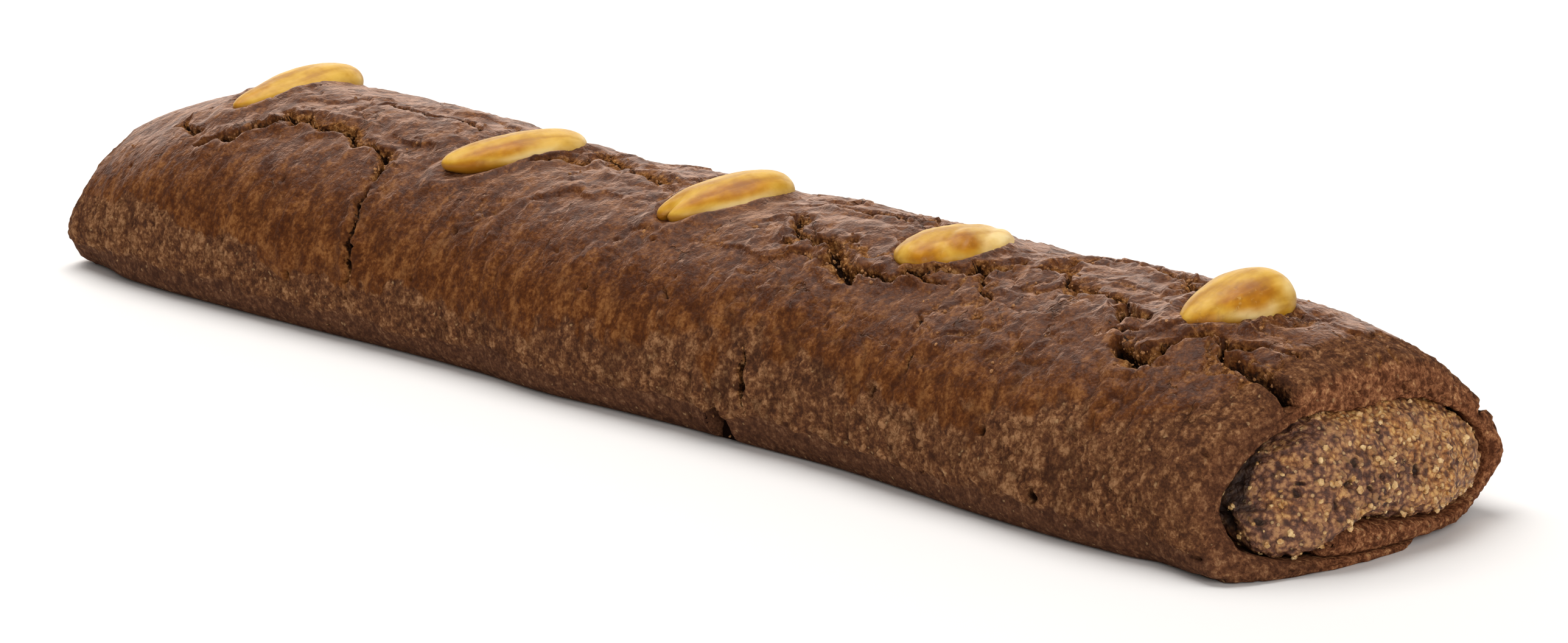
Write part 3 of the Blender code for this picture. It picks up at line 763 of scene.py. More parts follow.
def dough():
    """The rolled sheet with its baked crust, and the way it was moved to stand in the middle."""
    rows, places, tucks, run, outside, far_side = sheet_grid()
    low, high = rows.reshape(-1, 3).min(0), rows.reshape(-1, 3).max(0)
    to_middle = np.array([-(low[0] + high[0]) / 2, -(low[1] + high[1]) / 2, -low[2]])
    rows = rows + to_middle
    p, x, tuck = rows.reshape(-1, 3), places.ravel(), tucks.ravel()
    s = np.broadcast_to(run, places.shape).ravel()
    band = np.broadcast_to(outside, places.shape).ravel() & (s > CRUST_FROM) & (s < CRUST_TO)
    crust = band | (np.abs(x) > LENGTH / 2 - END_CRUST)
    what = crust_relief(p[crust], x[crust], s[crust], tuck[crust], band[crust])
    weight = rising(s[crust], CRUST_FROM, 2.5) * ease((CRUST_TO - s[crust]) / 3)
    near_end = rising(np.abs(x[crust]), LENGTH / 2 - END_CRUST, 5)
    what["height"] = what["height"] * np.where(band[crust], np.maximum(weight, near_end), near_end)
    made_of = {key: np.full(len(p), UNSHAPED.get(key, 0.0)) for key in what}
    for key in what:
        made_of[key][crust] = what[key]
    p = p + grid_normals(rows).reshape(-1, 3) * made_of.pop("height")[:, None]
    p[:, 2] = np.maximum(p[:, 2], 0)
    made_of["skin"] = np.stack([x, s, tuck * 3], axis=1) * MM
    mesh = mesh_from_rings("dough rings", p.reshape(rows.shape), rows[[0, -1], :, 1:], made_of, far_side)
    return fewer_faces(mesh, "speculaas_crust", CRUST_TRIANGLES), to_middle


# ---- the almond paste

FILLING_SET_BACK = 3.2
FILLING_BULGE = {NEAR: 4.9, FAR: 3.6}
FILLING_MIDDLE = np.array([0.0, 12.5])
FILLING_ROUND = 300
# Hollows where the paste has drawn back: place and radius.
HOLLOWS = (
    ((126.6, -22.6, 6.6), 2.2), ((136.3, -6.7, 14.1), 0.9), ((136.9, -2.1, 11.4), 0.7),
    ((136.6, 5.4, 10.7), 1.1), ((136.1, 12.8, 9.7), 0.7), ((135.0, -15.8, 10.8), 0.7),
    ((132.1, -20.4, 7.3), 1.0), ((134.4, -12.6, 14.5), 0.5), ((135.2, 16.2, 12.6), 0.6),
    ((134.6, 4.2, 17.0), 0.6), ((-133.6, 6.0, 13.0), 1.1), ((-133.0, -12.0, 10.0), 0.9),
)


def filling(to_middle):
    """The paste core: smooth inside the roll, a coarse pored dome at each end."""
    outlines = {end: curve(points, 0, closed=True, count=FILLING_ROUND)
                for end, points in ((FAR, FILLING), (NEAR, FILLING_AT_NEAR))}
    half = LENGTH / 2 - FILLING_SET_BACK
    edge = 1 - np.linspace(0.0, 0.2, 12)[1:] ** 1.6 / 0.2**0.6
    shares = np.concatenate([edge, np.linspace(0.79, 0.02, 62)])
    rows, wild = [], []

    def dome(end):
        for share in shares[::-1] if end == FAR else shares:
            row = placed(end * half, FILLING_MIDDLE + (outlines[end] - FILLING_MIDDLE) * share)
            row[:, 0] += end * FILLING_BULGE[end] * (1 - share**3.0) ** 0.62
            rows.append(row)
            wild.append(1.0)

    dome(FAR)
    for x in spaced(((-half, 0.5), (-half + 5, 3.0), (0, 12.0), (half - 5, 2.0), (half, 0.4))):
        opened = ease((x - half + 12) / 9)
        rows.append(placed(x, outlines[FAR] * (1 - opened) + outlines[NEAR] * opened))
        wild.append(float(ease(1 - (half - abs(x)) / 4)))
    dome(NEAR)
    rows = np.array(rows) + to_middle
    p = rows.reshape(-1, 3)
    way = wander(p, 1.3, (206, 207, 208))
    pore = pores(p + 0.5 * way, 2.9, 205, 0.12, 0.20, 0.66)
    first, second, owner = cells(p + 0.25 * way, 1.15, 211)
    grain = ease((second - first) / 0.35) * (owner > 0.55)
    swell = 0.75 * layered(p, 7.5, 201, octaves=2) + 0.45 * (lumps(p, 3.0, 204) - 0.5)
    fine = layered(p, 1.0, 221, octaves=2, fade=0.7)
    height = np.repeat(wild, FILLING_ROUND) * (swell + 0.28 * fine + 0.30 * grain - 1.4 * pore)
    golden = layered(p, 6.0, 231, octaves=4, fade=0.75) * 1.9
    golden = golden + np.clip((p[:, 1] - 5) / 20, -0.7, 1) * 0.55
    golden += np.clip((p[:, 2] - 12) / 9, -1, 1) * 0.35 - 0.12
    hollow = np.zeros(len(p))
    for middle, radius in HOLLOWS:
        away = np.linalg.norm((p - middle) + 0.5 * way, axis=1)
        hollow = np.maximum(hollow, ease(1 - (away - 0.45 * radius) / (0.75 * radius)) * radius)
    height -= 1.1 * hollow
    # the hollows are painted with shade through the pore mask
    pore = np.maximum(pore, np.clip(1.3 * hollow, 0, 1))

    # on the left of the near end the paste has drawn back and leaves a gap, which is painted with shade
    left = ease((-11 - p[:, 1]) / 8) * rising(p[:, 2], 5.5, 4)
    edge = 131.6 - 0.35 * (p[:, 2] - 12)
    gap = left * ease((edge - p[:, 0] + noise(p, 2.0, 241)) / 2.0) * (p[:, 0] > 100)
    made_of = {
        "pore": np.maximum(pore, 0.8 * gap), "grain": grain * (1 - np.clip(hollow, 0, 1)),
        "golden": ease(0.5 + golden),
    }
    p = p + grid_normals(rows).reshape(-1, 3) * height[:, None]
    p[:, 0] -= 1.6 * left * rising(p[:, 0], 120, 12)
    rows = p.reshape(rows.shape)
    mesh = mesh_from_rings("paste rings", rows, rows[[0, -1], :, 1:], made_of)
    return fewer_faces(mesh, "paste", PASTE_TRIANGLES)


# ---- the almonds

ALMOND_ROUND, ALMOND_ALONG = 96, 120
ALMOND_TIP = 0.02  # how far short of its very tips an almond's rings stop, as an angle
SLOPE_REACH = 6  # how far to each side of its middle an almond takes the slope it lies on
# Each almond's own look. Full is how blunt its front and back ends are, vein how wrinkled, fork how deep
# the cleft in its front tip. Spots of amber glaze and of pale cream are given as (angle round the almond
# from its near side, share of the length, reach of both, strength).
ALMOND_LOOKS = (
    dict(full=(1.6, 2.3), widest=0.28, vein=0.10, slant=0.1, fork=0.0, fleck=0.25,
         amber=((75, -0.75, 40, 0.5, 0.7), (30, -0.5, 30, 0.6, 0.4)), pale=((10, 0.1, 28, 0.7, 0.5),)),
    dict(full=(1.7, 2.3), widest=0.20, vein=0.12, slant=0.1, fork=0.0, fleck=0.25,
         amber=((45, -0.35, 26, 0.5, 1.0), (5, -0.7, 30, 0.35, 0.8)),
         pale=((8, 0.25, 24, 0.5, 0.9), (30, 0.9, 60, 0.3, 0.6))),
    dict(full=(1.7, 2.5), widest=0.15, vein=0.12, slant=0.0, fork=1.0, fleck=0.2,
         amber=((48, -0.1, 22, 0.62, 1.3),), pale=((6, 0.1, 22, 0.75, 1.0), (40, 1.0, 60, 0.25, 0.6))),
    dict(full=(1.9, 2.2), widest=0.05, vein=0.30, slant=0.8, fork=0.0, fleck=0.3,
         amber=((40, -0.15, 30, 0.28, 1.2), (30, -0.75, 40, 0.3, 0.9), (-5, -0.3, 20, 0.5, 0.7)),
         pale=((22, 0.5, 45, 0.42, 1.3), (60, 0.85, 60, 0.35, 1.0))),
    dict(full=(1.6, 2.5), widest=0.26, vein=0.12, slant=0.3, fork=0.0, fleck=0.6,
         amber=((45, -0.1, 30, 0.45, 1.2), (15, -0.8, 50, 0.3, 0.8)),
         pale=((8, -0.05, 20, 0.4, 1.0), (25, 0.75, 40, 0.3, 0.6))),
)


def crust_height(x, y):
    """Height of the crust above a place (x, y)."""
    _, front, back, high = shape_at(np.array(float(x)))
    outline = curve(OUTSIDE[5:16], 0.6)
    return float(np.interp(y / float(back if y > 0 else front), outline[:, 0], outline[:, 1])) * float(high)


def spots(places, angle, share):
    """How strongly each point lies in the given spots."""
    total = np.zeros_like(share)
    for turn, along, wide, long, strength in places:
        away = ((angle - turn) / wide) ** 2 + ((share - along) / long) ** 2
        total = np.maximum(total, strength * np.exp(-away))
    return total


def almond_mesh(name, row, look, seed, to_middle):
    """One almond, pressed into the crust at its place."""
    x, y, length, width, thickness, turn, tip, sunk = row
    around = np.linspace(0, 2 * math.pi, ALMOND_ROUND, endpoint=False)
    along = -np.cos(np.linspace(ALMOND_TIP, math.pi - ALMOND_TIP, ALMOND_ALONG))
    from_widest = along - look["widest"] * (1 - along**2)
    ring = np.sqrt(1 - np.abs(from_widest) ** np.where(from_widest < 0, *look["full"]))
    across = ring[:, None] * np.cos(around) * width / 2
    up = ring[:, None] ** 0.85 * np.sin(around) * thickness / 2
    local = np.stack([across, np.broadcast_to((along * length / 2)[:, None], across.shape), up], axis=2)
    flat = local.reshape(-1, 3)
    share = np.broadcast_to(along[:, None], across.shape).ravel()
    angle = np.degrees(np.broadcast_to(around, across.shape).ravel())
    angle = np.where(angle > 240, angle - 360, angle)

    # wrinkles along the almond, and the cleft in its front tip
    slanted = flat.copy()
    slanted[:, 0] += look["slant"] * flat[:, 1]
    veins = layered(slanted, (2.6, 13.0, 3.2), seed, octaves=2)
    swell = rising(1 - np.abs(share), 0, 0.15) * (0.16 * noise(flat, 6.5, seed + 2) + look["vein"] * veins)
    swell += 0.012 * noise(flat, 0.9, seed + 3)
    swell -= 2.0 * (look["fork"] * hump(share + 1.0, 0.26) * hump(flat[:, 0] - 0.4, 0.9))
    outward = grid_normals(local).reshape(-1, 3)
    if np.einsum("ij,ij->i", outward, flat).mean() < 0:
        outward = -outward
    rows = flat + outward * swell[:, None]

    rise = crust_height(x, y + SLOPE_REACH) - crust_height(x, y - SLOPE_REACH)
    slope = math.atan2(rise, 2 * SLOPE_REACH) + math.radians(tip)
    middle = Vector((x, y, crust_height(x, y) + thickness * (0.5 - sunk))) + Vector(to_middle)
    place = Matrix.Translation(middle)
    place = np.array(place @ Matrix.Rotation(slope, 4, "X") @ Matrix.Rotation(math.radians(-turn), 4, "Z"))
    world = rows @ place[:3, :3].T + place[:3, 3]

    patchy = layered(flat, 4.5, seed + 4)
    flecks = look["fleck"] * np.clip(layered(slanted, (0.9, 1.6, 0.9), seed + 6) * 2.2, 0, 1)
    amber = spots(look["amber"], angle, share)
    made_of = {
        "amber": np.clip(amber + 0.35 * patchy * (amber > 0.1) + 0.25 * veins, 0, 1.2),
        "pale": np.clip(spots(look["pale"], angle, share) + 0.25 * patchy, 0, 1),
        "fleck": flecks * np.clip(amber * 1.4, 0.15, 1),
        "vein": np.clip(0.5 - 1.2 * veins, 0, 1) * look["vein"],
        "low": world[:, 2] - middle.z, "grain": flat * MM,
    }
    return mesh_from_rings(name, world.reshape(local.shape), local[[0, -1], :, ::-2], made_of)


# ---- materials

def feed(tree, socket, value):
    """Links a socket to another one, or sets its value."""
    if isinstance(value, bpy.types.NodeSocket):
        tree.links.new(value, socket)
    else:
        socket.default_value = (*value, 1.0) if socket.type == "RGBA" else value


def add_node(tree, kind, inputs, **settings):
    """A new node with its settings, and its inputs (by name or number) fed."""
    node = tree.nodes.new(kind)
    for key, value in settings.items():
        setattr(node, key, value)
    for key, value in inputs.items():
        feed(tree, node.inputs[key], value)
    return node


def pushed(tree, cloud, reach):
    """Ways in all directions made of a cloud's colours, up to half the reach (mm) each way."""
    centred = add_node(tree, "ShaderNodeVectorMath", {0: cloud, 1: (0.5, 0.5, 0.5)}, operation="SUBTRACT")
    longer = {0: centred.outputs[0], "Scale": reach * MM}
    return add_node(tree, "ShaderNodeVectorMath", longer, operation="SCALE").outputs[0]


class Material:
    """A procedural material under construction."""

    def __init__(self, name):
        self.material = bpy.data.materials.new(name)
        self.material.use_nodes = True
        self.tree = self.material.node_tree
        self.tree.nodes.clear()
        self.surface = self.add("BsdfPrincipled", {})
        self.add("OutputMaterial", {0: self.surface.outputs[0]})
        self.place = self.add("TexCoord", {}).outputs["Object"]

    def add(self, kind, inputs, **settings):
        """A shader node; kind is its name without the usual beginning."""
        return add_node(self.tree, "ShaderNode" + kind, inputs, **settings)

    def attribute(self, name, out="Fac"):
        return self.add("Attribute", {}, attribute_name=name).outputs[out]

    def noise(self, size, detail, rough, where=None, twist=0.0, out="Fac"):
        cloud = {"Vector": where or self.place, "Scale": 1.0 / (size * MM), "Detail": detail,
                 "Roughness": rough, "Distortion": twist}
        return self.add("TexNoise", cloud).outputs[out]

    def cells(self, size, where=None, feature="F1", out="Distance"):
        pattern = {"Vector": where or self.place, "Scale": 1.0 / (size * MM)}
        return self.add("TexVoronoi", pattern, feature=feature).outputs[out]

    def stretched(self, where, scale):
        return self.add("Mapping", {"Vector": where, "Scale": scale}).outputs[0]

    def wandering(self, size, reach, where=None):
        """Places pushed about by a cloud, so that what is drawn there is not round."""
        way = pushed(self.tree, self.noise(size, 2.0, 0.5, where, out="Color"), reach)
        return self.add("VectorMath", {0: way, 1: where or self.place}, operation="ADD").outputs[0]

    def maths(self, operation, *values):
        return self.add("Math", dict(enumerate(values)), operation=operation).outputs[0]

    def rest(self, value):
        """What value leaves of 1."""
        return self.maths("SUBTRACT", 1.0, value)

    def times(self, value, *others):
        """All the values multiplied."""
        for other in others:
            value = self.maths("MULTIPLY", value, other)
        return value

    def total(self, first, *others):
        """Sum of (value, weight) pairs."""
        result = self.maths("MULTIPLY", *first)
        for value, weight in others:
            result = self.maths("MULTIPLY_ADD", value, weight, result)
        return result

    def between(self, value, low, high, start=0.0, stop=1.0):
        """Start up to low, stop from high on, and a smooth change between them."""
        ends = {"Value": value, "From Min": low, "From Max": high, "To Min": start, "To Max": stop}
        return self.add("MapRange", ends, interpolation_type="SMOOTHSTEP").outputs[0]

    def speckles(self, size, where, edge, rarity):
        """Spots of an even size in a few of the cells."""
        near = self.between(self.cells(size, where), *edge)
        return self.times(near, self.between(self.cells(size, where, out="Color"), *rarity))

    def mix(self, share, a, b):
        node = self.add("Mix", {}, data_type="RGBA")
        for socket, value in zip([s for s in node.inputs if s.enabled], (share, a, b)):
            feed(self.tree, socket, value)
        return next(s for s in node.outputs if s.enabled)

    def ramp(self, value, stops, colours):
        node = self.add("ValToRGB", {0: value})
        bar = node.color_ramp.elements
        while len(bar) < len(stops):
            bar.new(0.5)
        for element, place, colour in zip(bar, stops, colours):
            element.position = place
            element.color = (*colour, 1.0)
        return node.outputs[0]

    def facing(self, over):
        """0 where the surface is seen square on, 1 where it is seen along itself."""
        return self.add("LayerWeight", {"Blend": 0.5, "Normal": over}).outputs["Facing"]

    def bump(self, height, distance, strength=1.0):
        relief = {"Height": height, "Distance": distance * MM, "Strength": strength}
        return self.add("Bump", relief).outputs[0]

    def finish(self, **values):
        for key, value in values.items():
            feed(self.tree, self.surface.inputs[key.replace("_", " ")], value)
        return self.material


# Tones from the darkest grain to the lightest, each with the places of its steps in the mix.
BROKEN_STEPS = (0.405, 0.458, 0.490, 0.524, 0.585)
GLAZED = ((0.395, 0.445, 0.480, 0.515, 0.575), (
    (0.056, 0.0170, 0.0064), (0.080, 0.0245, 0.0075), (0.110, 0.0350, 0.0098), (0.152, 0.0520, 0.0145),
    (0.25, 0.102, 0.032)))
BARE = ((0.395, 0.455, 0.490, 0.526, 0.590), (
    (0.070, 0.0285, 0.0155), (0.118, 0.0465, 0.0220), (0.166, 0.0680, 0.0300), (0.230, 0.1010, 0.0435),
    (0.40, 0.205, 0.096)))
BROKEN = (BROKEN_STEPS, (
    (0.065, 0.0210, 0.0065), (0.150, 0.0540, 0.0145), (0.225, 0.0880, 0.0245), (0.32, 0.138, 0.040),
    (0.50, 0.26, 0.100)))
PLAIN = (BROKEN_STEPS, (
    (0.070, 0.0285, 0.0165), (0.102, 0.0425, 0.0225), (0.126, 0.0530, 0.0270), (0.156, 0.0670, 0.0340),
    (0.25, 0.125, 0.065)))
TORN = (BROKEN_STEPS, (
    (0.100, 0.0345, 0.0160), (0.190, 0.0690, 0.0305), (0.275, 0.1070, 0.0480), (0.370, 0.154, 0.068),
    (0.62, 0.335, 0.150)))
PASTE_STEPS = (0.39, 0.455, 0.49, 0.53, 0.60)
PASTE_DARK = (PASTE_STEPS, (
    (0.066, 0.0235, 0.0130), (0.130, 0.0490, 0.0260), (0.180, 0.0710, 0.0370), (0.285, 0.122, 0.058),
    (0.52, 0.265, 0.115)))
PASTE_LIGHT = (PASTE_STEPS, (
    (0.115, 0.0340, 0.0080), (0.285, 0.1050, 0.0270), (0.410, 0.162, 0.044), (0.55, 0.242, 0.068),
    (0.82, 0.48, 0.165)))
ALMOND_STEPS = (0.40, 0.50, 0.60)
YELLOW = (ALMOND_STEPS, ((0.48, 0.225, 0.010), (0.63, 0.345, 0.028), (0.74, 0.45, 0.065)))
CREAM = (ALMOND_STEPS, ((0.68, 0.42, 0.105), (0.82, 0.57, 0.195), (0.92, 0.71, 0.32)))
BROWN = (ALMOND_STEPS, ((0.32, 0.108, 0.001), (0.44, 0.164, 0.003), (0.58, 0.260, 0.010)))
# Both colours here are painted shade: for the creases between lumps and for the hairline cracks.
CREASE_SHADE, HAIRLINE_SHADE = (0.036, 0.0145, 0.0085), (0.050, 0.0170, 0.0070)
# Both colours here are painted shade: for recesses, pores and holes, and for the inside of the open splits.
RECESS_SHADE, GAP_SHADE = (0.021, 0.0080, 0.0044), (0.012, 0.0048, 0.0030)
# The second colour here is a painted sheen, lightening the glaze where it is seen edge-on.
LOOSE_CRUMB, PAINTED_SHEEN = (0.50, 0.31, 0.15), (0.55, 0.322, 0.215)
# The last colour here is painted shade for the paste's pores, hollows and gap.
PASTE_GRAIN, PASTE_BIT, PASTE_PORE_SHADE = (0.60, 0.31, 0.105), (0.70, 0.44, 0.205), (0.022, 0.0085, 0.0045)
DARK_FLECK, LIGHT_FLECK, ALMOND_VEIN = (0.22, 0.085, 0.012), (0.88, 0.62, 0.20), (0.34, 0.145, 0.020)
# The second colour here is a painted sheen for the almonds' edge-on faces.
ALMOND_FOOT, ALMOND_SHEEN = (0.34, 0.125, 0.008), (0.74, 0.51, 0.17)


def through(radius):
    """How far each colour of light travels under the surface (mm)."""
    return tuple(r * MM for r in radius)


def speculaas():
    m = Material("speculaas_dough")
    glaze, tan, crumb, deep, crease, gloss, rift, gape, strip, end_face = (m.attribute(k) for k in (
        "glaze", "tan", "crumb", "deep", "crease", "gloss", "rift", "gape", "strip", "end_face"))
    skin = m.attribute("skin", "Vector")
    hoop = m.stretched(skin, (1.0, 0.6, 1.0))
    mottle = m.noise(3.4, 6.0, 0.66, hoop, 0.5)
    clod = m.noise(1.8, 5.0, 0.66, hoop, 0.4)
    fleck = m.noise(0.75, 5.0, 0.68)
    ragged = m.wandering(1.0, 1.1)
    granule = m.rest(m.total((m.cells(0.6, ragged), 0.45), (m.cells(1.45, ragged), 0.55)))
    grain_tone = m.cells(0.8, ragged, out="Color")
    grit = m.noise(0.36, 3.0, 0.65)
    # the last term darkens the glazed tone on the upper crust: painted shade against the stronger light it
    # gets there
    glaze_mix = m.total((mottle, 0.45), (fleck, 0.33), (grit, 0.10), (granule, 0.12), (gloss, -0.028))
    bare_mix = m.total((granule, 0.20), (fleck, 0.32), (clod, 0.24), (grain_tone, 0.08), (grit, 0.16),
                       (m.maths("SUBTRACT", tan, 0.35), 0.055))
    colour = m.mix(m.between(glaze, 0.25, 0.75), m.ramp(bare_mix, *BARE), m.ramp(glaze_mix, *GLAZED))
    colour = m.mix(strip, colour, m.ramp(bare_mix, *PLAIN))
    colour = m.mix(end_face, colour, m.ramp(bare_mix, *TORN))
    colour = m.mix(m.between(crumb, 0.1, 0.8), colour, m.ramp(bare_mix, *BROKEN))
    # painted shade in the creases between the lumps
    colour = m.mix(m.times(crease, 0.6), colour, CREASE_SHADE)
    scattered = m.speckles(1.5, ragged, (0.20, 0.10), (0.60, 0.66))
    colour = m.mix(m.times(scattered, m.rest(m.between(glaze, 0.1, 0.6)), 0.6), colour, LOOSE_CRUMB)

    # hairline cracks round the plates of the upper crust, and the gaping splits, both darkened with painted
    # shade
    plate_place = m.wandering(0.9, 0.9, m.wandering(3.5, 3.4, skin))
    edge, plate = m.cells(8.0, plate_place, "DISTANCE_TO_EDGE"), m.cells(8.0, plate_place, out="Color")
    here = m.between(m.noise(9.0, 2.0, 0.5, skin), 0.57, 0.64)
    shaded_hairline = m.times(m.between(edge, 0.026, 0.008), here, m.between(gloss, 0.3, 0.9))
    shaded_gap = m.maths("SUBTRACT", m.maths("ABSOLUTE", rift), gape)
    shaded_gap = m.between(m.maths("MULTIPLY_ADD", m.maths("SUBTRACT", fleck, 0.5), 0.9, shaded_gap), 0.16, -0.10)
    # painted shade in the hairline cracks
    colour = m.mix(m.times(shaded_hairline, 0.45), colour, HAIRLINE_SHADE)
    # painted shade in recesses, pores, holes and split cores
    colour = m.mix(m.between(deep, 0.3, 0.9), colour, RECESS_SHADE)
    # painted shade filling the open splits
    colour = m.mix(m.times(shaded_gap, 0.94), colour, GAP_SHADE)

    crumbs = m.total((grit, 0.75), (granule, 0.75))
    smoother = m.total((grit, 0.16), (granule, 0.26), (m.noise(1.9, 2.0, 0.45, skin), 0.34),
                       (m.times(plate, gloss), 0.35))
    relief = m.mix(m.between(glaze, 0.2, 0.8), crumbs, smoother)
    bumped = m.bump(m.maths("SUBTRACT", relief, m.times(m.maths("MAXIMUM", shaded_hairline, shaded_gap), 0.8)), 0.62)
    shiny = m.times(m.between(glaze, 0.2, 0.9), gloss)
    # painted sheen: the glaze colour is lightened, in patches, where the upper crust is seen edge-on
    patchy_painted_sheen = m.between(m.noise(2.6, 4.0, 0.6, hoop), 0.38, 0.62, 0.22, 1.0)
    painted_sheen = m.times(shiny, patchy_painted_sheen, m.between(m.facing(bumped), 0.58, 0.96, 0.0, 0.95))
    return m.finish(
        Base_Color=m.mix(painted_sheen, colour, PAINTED_SHEEN), Normal=bumped, IOR=1.5,
        Roughness=m.maths("MULTIPLY_ADD", mottle, 0.2, m.between(glaze, 0.2, 0.85, 0.68, 0.34)),
        Specular_IOR_Level=m.maths("MULTIPLY_ADD", shiny, 0.07, 0.03))


def paste_finish():
    m = Material("almond_paste")
    golden, pore, grain = (m.attribute(k) for k in ("golden", "pore", "grain"))
    fleck = m.noise(0.7, 5.0, 0.65, twist=0.4)
    granule = m.rest(m.cells(0.9, m.wandering(0.8, 0.7)))
    value = m.total((m.noise(2.2, 5.0, 0.6), 0.34), (fleck, 0.38), (granule, 0.28))
    colour = m.mix(golden, m.ramp(value, *PASTE_DARK), m.ramp(value, *PASTE_LIGHT))
    colour = m.mix(m.between(grain, 0.30, 0.9, 0.0, 0.42), colour, PASTE_GRAIN)
    bits = m.speckles(1.0, None, (0.34, 0.22), (0.56, 0.60))
    colour = m.mix(m.times(bits, 0.75), colour, PASTE_BIT)
    # painted shade in the paste's pores, hollows and the gap at its near end
    colour = m.mix(m.between(pore, 0.1, 0.9, 0.0, 0.92), colour, PASTE_PORE_SHADE)
    rough = m.maths("ADD", m.noise(0.5, 4.0, 0.65), m.times(fleck, 0.7))
    return m.finish(
        Base_Color=colour, Roughness=m.between(grain, 0.2, 1.0, 0.55, 0.34),
        Normal=m.bump(m.total((rough, 0.6), (granule, 0.7), (bits, 0.35)), 0.60),
        Subsurface_Weight=0.12, Subsurface_Radius=through((0.6, 0.3, 0.12)), Subsurface_Scale=1.0)


def almond_finish():
    m = Material("glazed_almond")
    amber, pale, vein, low, flecks = (m.attribute(k) for k in ("amber", "pale", "vein", "low", "fleck"))
    grain = m.attribute("grain", "Vector")
    streak = m.noise(2.2, 4.0, 0.5, m.stretched(grain, (1.0, 0.25, 1.0)), 0.3)
    speck = m.noise(0.6, 3.0, 0.6, grain)
    value = m.total((m.noise(4.5, 3.0, 0.5, grain), 0.5), (streak, 0.5))
    colour = m.mix(m.between(pale, 0.05, 0.85), m.ramp(value, *YELLOW), m.ramp(value, *CREAM))
    colour = m.mix(m.between(amber, 0.05, 0.85), colour, m.ramp(value, *BROWN))
    colour = m.mix(m.times(vein, 0.8), colour, ALMOND_VEIN)
    colour = m.mix(m.times(flecks, 0.75), colour, DARK_FLECK)
    colour = m.mix(m.times(flecks, m.between(speck, 0.57, 0.62, 0.0, 0.6)), colour, LIGHT_FLECK)
    colour = m.mix(m.between(low, -0.2, -1.2, 0.0, 0.8), colour, ALMOND_FOOT)
    bump = m.bump(m.maths("ADD", streak, m.times(speck, 0.2)), 0.12, 0.6)
    return m.finish(
        # painted sheen: the almond's colour is lightened where it is seen edge-on
        Base_Color=m.mix(m.between(m.facing(bump), 0.66, 1.0, 0.0, 0.20), colour, ALMOND_SHEEN), Normal=bump,
        Roughness=m.between(speck, 0.35, 0.65, 0.40, 0.52), Coat_Weight=0.05, Coat_Roughness=0.2,
        Specular_IOR_Level=0.20, Subsurface_Weight=0.08, Subsurface_Radius=through((1.6, 0.9, 0.25)),
        Subsurface_Scale=1.0)


def crumb_finish(name, dark, light, gloss):
    m = Material(name)
    colour = m.ramp(m.noise(1.4, 4.0, 0.6), (0.35, 0.65), (dark, light))
    return m.finish(
        Base_Color=colour, Roughness=gloss, Normal=m.bump(m.noise(0.3, 3.0, 0.6), 0.15, 0.7),
        Subsurface_Weight=0.1, Subsurface_Radius=through((0.5, 0.25, 0.1)), Subsurface_Scale=1.0)


# ---- loose crumbs and grains

STREWING = {"Surface": "Geometry", "Where": "String", "Grains per area": "Float", "Smallest": "Float",
            "Largest": "Float", "Seed": "Int"}
FLATTEST, ROUNDEST = (0.6, 0.6, 0.5), (1.3, 1.2, 0.9)
GRAIN_LUMP, GRAIN_UNEVEN = 0.55, 0.30


def scatter_tree(name, finish):
    """Strews lumpy grains over a surface where its named attribute is high."""
    tree = bpy.data.node_groups.new(name, "GeometryNodeTree")
    for label, kind in STREWING.items():
        tree.interface.new_socket(label, in_out="INPUT", socket_type="NodeSocket" + kind)
    tree.interface.new_socket("Grains", in_out="OUTPUT", socket_type="NodeSocketGeometry")

    def add(kind, inputs, out=0, **settings):
        return add_node(tree, kind, inputs, **settings).outputs[out]

    given = add_node(tree, "NodeGroupInput", {}).outputs
    seed = {"Seed": given["Seed"]}
    where = add("GeometryNodeInputNamedAttribute", {"Name": given["Where"]}, "Attribute", data_type="FLOAT")
    density = add("ShaderNodeMath", {0: where, 1: given["Grains per area"]}, operation="MULTIPLY")
    strewn = {"Mesh": given["Surface"], "Density": density, **seed}
    points = add("GeometryNodeDistributePointsOnFaces", strewn, "Points", distribute_method="RANDOM")
    sizes = {2: given["Smallest"], 3: given["Largest"], **seed}
    size = add("FunctionNodeRandomValue", sizes, 1, data_type="FLOAT")
    skew = add("FunctionNodeRandomValue", {0: FLATTEST, 1: ROUNDEST}, data_type="FLOAT_VECTOR")
    turn = add("FunctionNodeRandomValue", {1: (math.tau,) * 3}, data_type="FLOAT_VECTOR")
    scale = add("ShaderNodeVectorMath", {0: skew, "Scale": size}, operation="SCALE")
    ball = add("GeometryNodeMeshIcoSphere", {"Radius": 1.0, "Subdivisions": 1}, "Mesh")
    placing = {"Points": points, "Instance": ball, "Rotation": turn, "Scale": scale}
    grains = add("GeometryNodeRealizeInstances", {"Geometry": add("GeometryNodeInstanceOnPoints", placing)})
    lump = add("ShaderNodeTexNoise", {"Scale": 1.0 / (GRAIN_LUMP * MM), "Detail": 2.0}, "Color")
    grains = add("GeometryNodeSetPosition", {"Geometry": grains, "Offset": pushed(tree, lump, GRAIN_UNEVEN)})
    grains = add("GeometryNodeRealizeInstances", {"Geometry": grains})
    grains = add("GeometryNodeSetMaterial", {"Geometry": grains, "Material": finish})
    add_node(tree, "NodeGroupOutput", {"Grains": grains})
    return tree


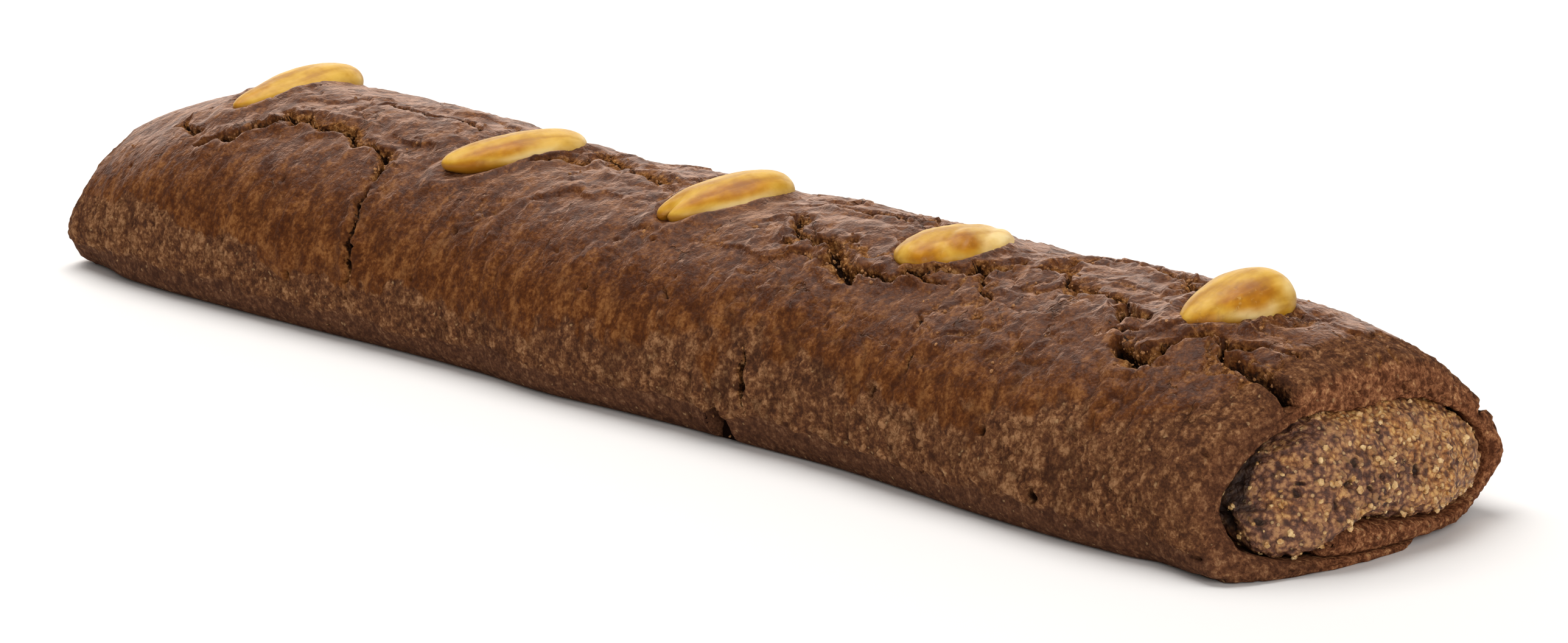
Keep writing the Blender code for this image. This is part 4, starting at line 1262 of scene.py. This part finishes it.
def scatter(name, mesh, finish, where, per_area, smallest, largest, seed):
    """Grains strewn on a mesh as one plain mesh. Sizes in millimetres, grains per square centimetre."""
    host = new_object(name, mesh.copy())
    tree = scatter_tree(name + " strewing", finish)
    modifier = host.modifiers.new("strewing", "NODES")
    modifier.node_group = tree
    values = {"Where": where, "Grains per area": per_area * 1e4, "Smallest": smallest * MM,
              "Largest": largest * MM, "Seed": seed}
    for item in tree.interface.items_tree:
        if item.in_out == "INPUT" and item.name in values:
            modifier[item.identifier] = values[item.name]
    grains = worked_out(host, name)
    grains.polygons.foreach_set("use_smooth", np.zeros(len(grains.polygons), bool))
    return grains


# ---- putting it together

def show(name, mesh, finish, node=None):
    """Puts a piece into the scene in its finish."""
    obj = new_object(name, mesh)
    mesh.materials.clear()
    mesh.materials.append(finish)
    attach(obj, "root")
    if node:
        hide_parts(node)


crust_mesh, to_middle = dough()
dough_finish, core_finish, nut_finish = speculaas(), paste_finish(), almond_finish()
paste_mesh = filling(to_middle)
show("speculaas_crust", crust_mesh, dough_finish, "dough_roll")
show("almond_paste_core", paste_mesh, core_finish, "paste_core")
for k, (row, look) in enumerate(zip(ALMONDS, ALMOND_LOOKS), start=1):
    nut = almond_mesh(f"glazed_almond_{k}", row, look, 300 + 20 * k, to_middle)
    show(f"glazed_almond_{k}", nut, nut_finish, f"almond_{k}")

crumb_colour = crumb_finish("loose_crumbs", (0.16, 0.058, 0.018), (0.46, 0.22, 0.075), 0.75)
sugar_colour = crumb_finish("sugar_grains", (0.46, 0.22, 0.060), (0.82, 0.58, 0.28), 0.25)
crumbs = scatter("crack_crumbs", crust_mesh, crumb_colour, "crumb", 50.0, 0.12, 0.38, 5)
show("crack_crumbs", crumbs, crumb_colour)
sugar = scatter("paste_grains", paste_mesh, sugar_colour, "grain", 60.0, 0.18, 0.62, 9)
show("paste_grains", sugar, sugar_colour)


# ---- floor, light and camera

def matte(name, colour):
    """An even finish with a very slight unevenness of tone."""
    m = Material(name)
    shade = tuple(c * 0.985 for c in colour)
    return m.finish(Base_Color=m.mix(m.noise(400.0, 2.0, 0.5), shade, colour), Roughness=0.9)


FLOOR_REACH = 6.0
floor_mesh = bpy.data.meshes.new("floor")
bm = bmesh.new()
bmesh.ops.create_grid(bm, x_segments=1, y_segments=1, size=FLOOR_REACH)
bm.to_mesh(floor_mesh)
bm.free()
floor = new_object("floor", floor_mesh)
floor_mesh.materials.append(matte("pale floor", (0.92, 0.92, 0.92)))

world = bpy.data.worlds.new("soft studio")
world.use_nodes = True
sky = world.node_tree.nodes["Background"].inputs
sky["Color"].default_value = (1.0, 0.965, 0.93, 1.0)
sky["Strength"].default_value = 0.28
bpy.context.scene.world = world


def soft_light(name, place, aim, size, power):
    """A warm soft box at a place, turned to its aim."""
    data = bpy.data.lights.new(name, "AREA")
    data.shape = "RECTANGLE"
    data.size, data.size_y = size
    data.energy = power
    data.color = (1.0, 0.97, 0.94)
    light = new_object(name, data)
    light.location = place
    light.rotation_euler = (Vector(place) - Vector(aim)).to_track_quat("Z", "Y").to_euler()


soft_light("back soft light", (-1.25, 1.15, 0.55), (0, 0, 0.05), (2.6, 0.9), 12.0)
soft_light("top soft light", (-0.45, 0.1, 1.3), (0, 0, 0), (1.2, 1.0), 18.0)
soft_light("front soft light", (1.5, -0.75, 0.7), (0, 0, 0), (1.2, 0.9), 14.0)

VIEW_TURN, VIEW_RISE = math.radians(47.68), math.radians(13.05)
VIEW_DISTANCE, AIM = 804.39, Vector((-1.5, 1.2, 14.0))
SHIFT_RIGHT, SHIFT_UP = 10.32, -5.48
back_way = Vector((math.sin(VIEW_TURN) * math.cos(VIEW_RISE), -math.cos(VIEW_TURN) * math.cos(VIEW_RISE),
                   math.sin(VIEW_RISE)))
right_way = Vector((math.cos(VIEW_TURN), math.sin(VIEW_TURN), 0))
up_way = back_way.cross(right_way)
lens = bpy.data.cameras.new("view")
lens.lens, lens.sensor_width = 120.0, 36.0
lens.clip_start = 0.01
camera = new_object("view", lens)
eye = (AIM + SHIFT_RIGHT * right_way + SHIFT_UP * up_way + VIEW_DISTANCE * back_way) * MM
camera.matrix_world = Matrix.Translation(eye) @ Matrix((right_way, up_way, back_way)).transposed().to_4x4()
bpy.context.scene.camera = camera
bpy.context.scene.view_settings.view_transform = "Standard"
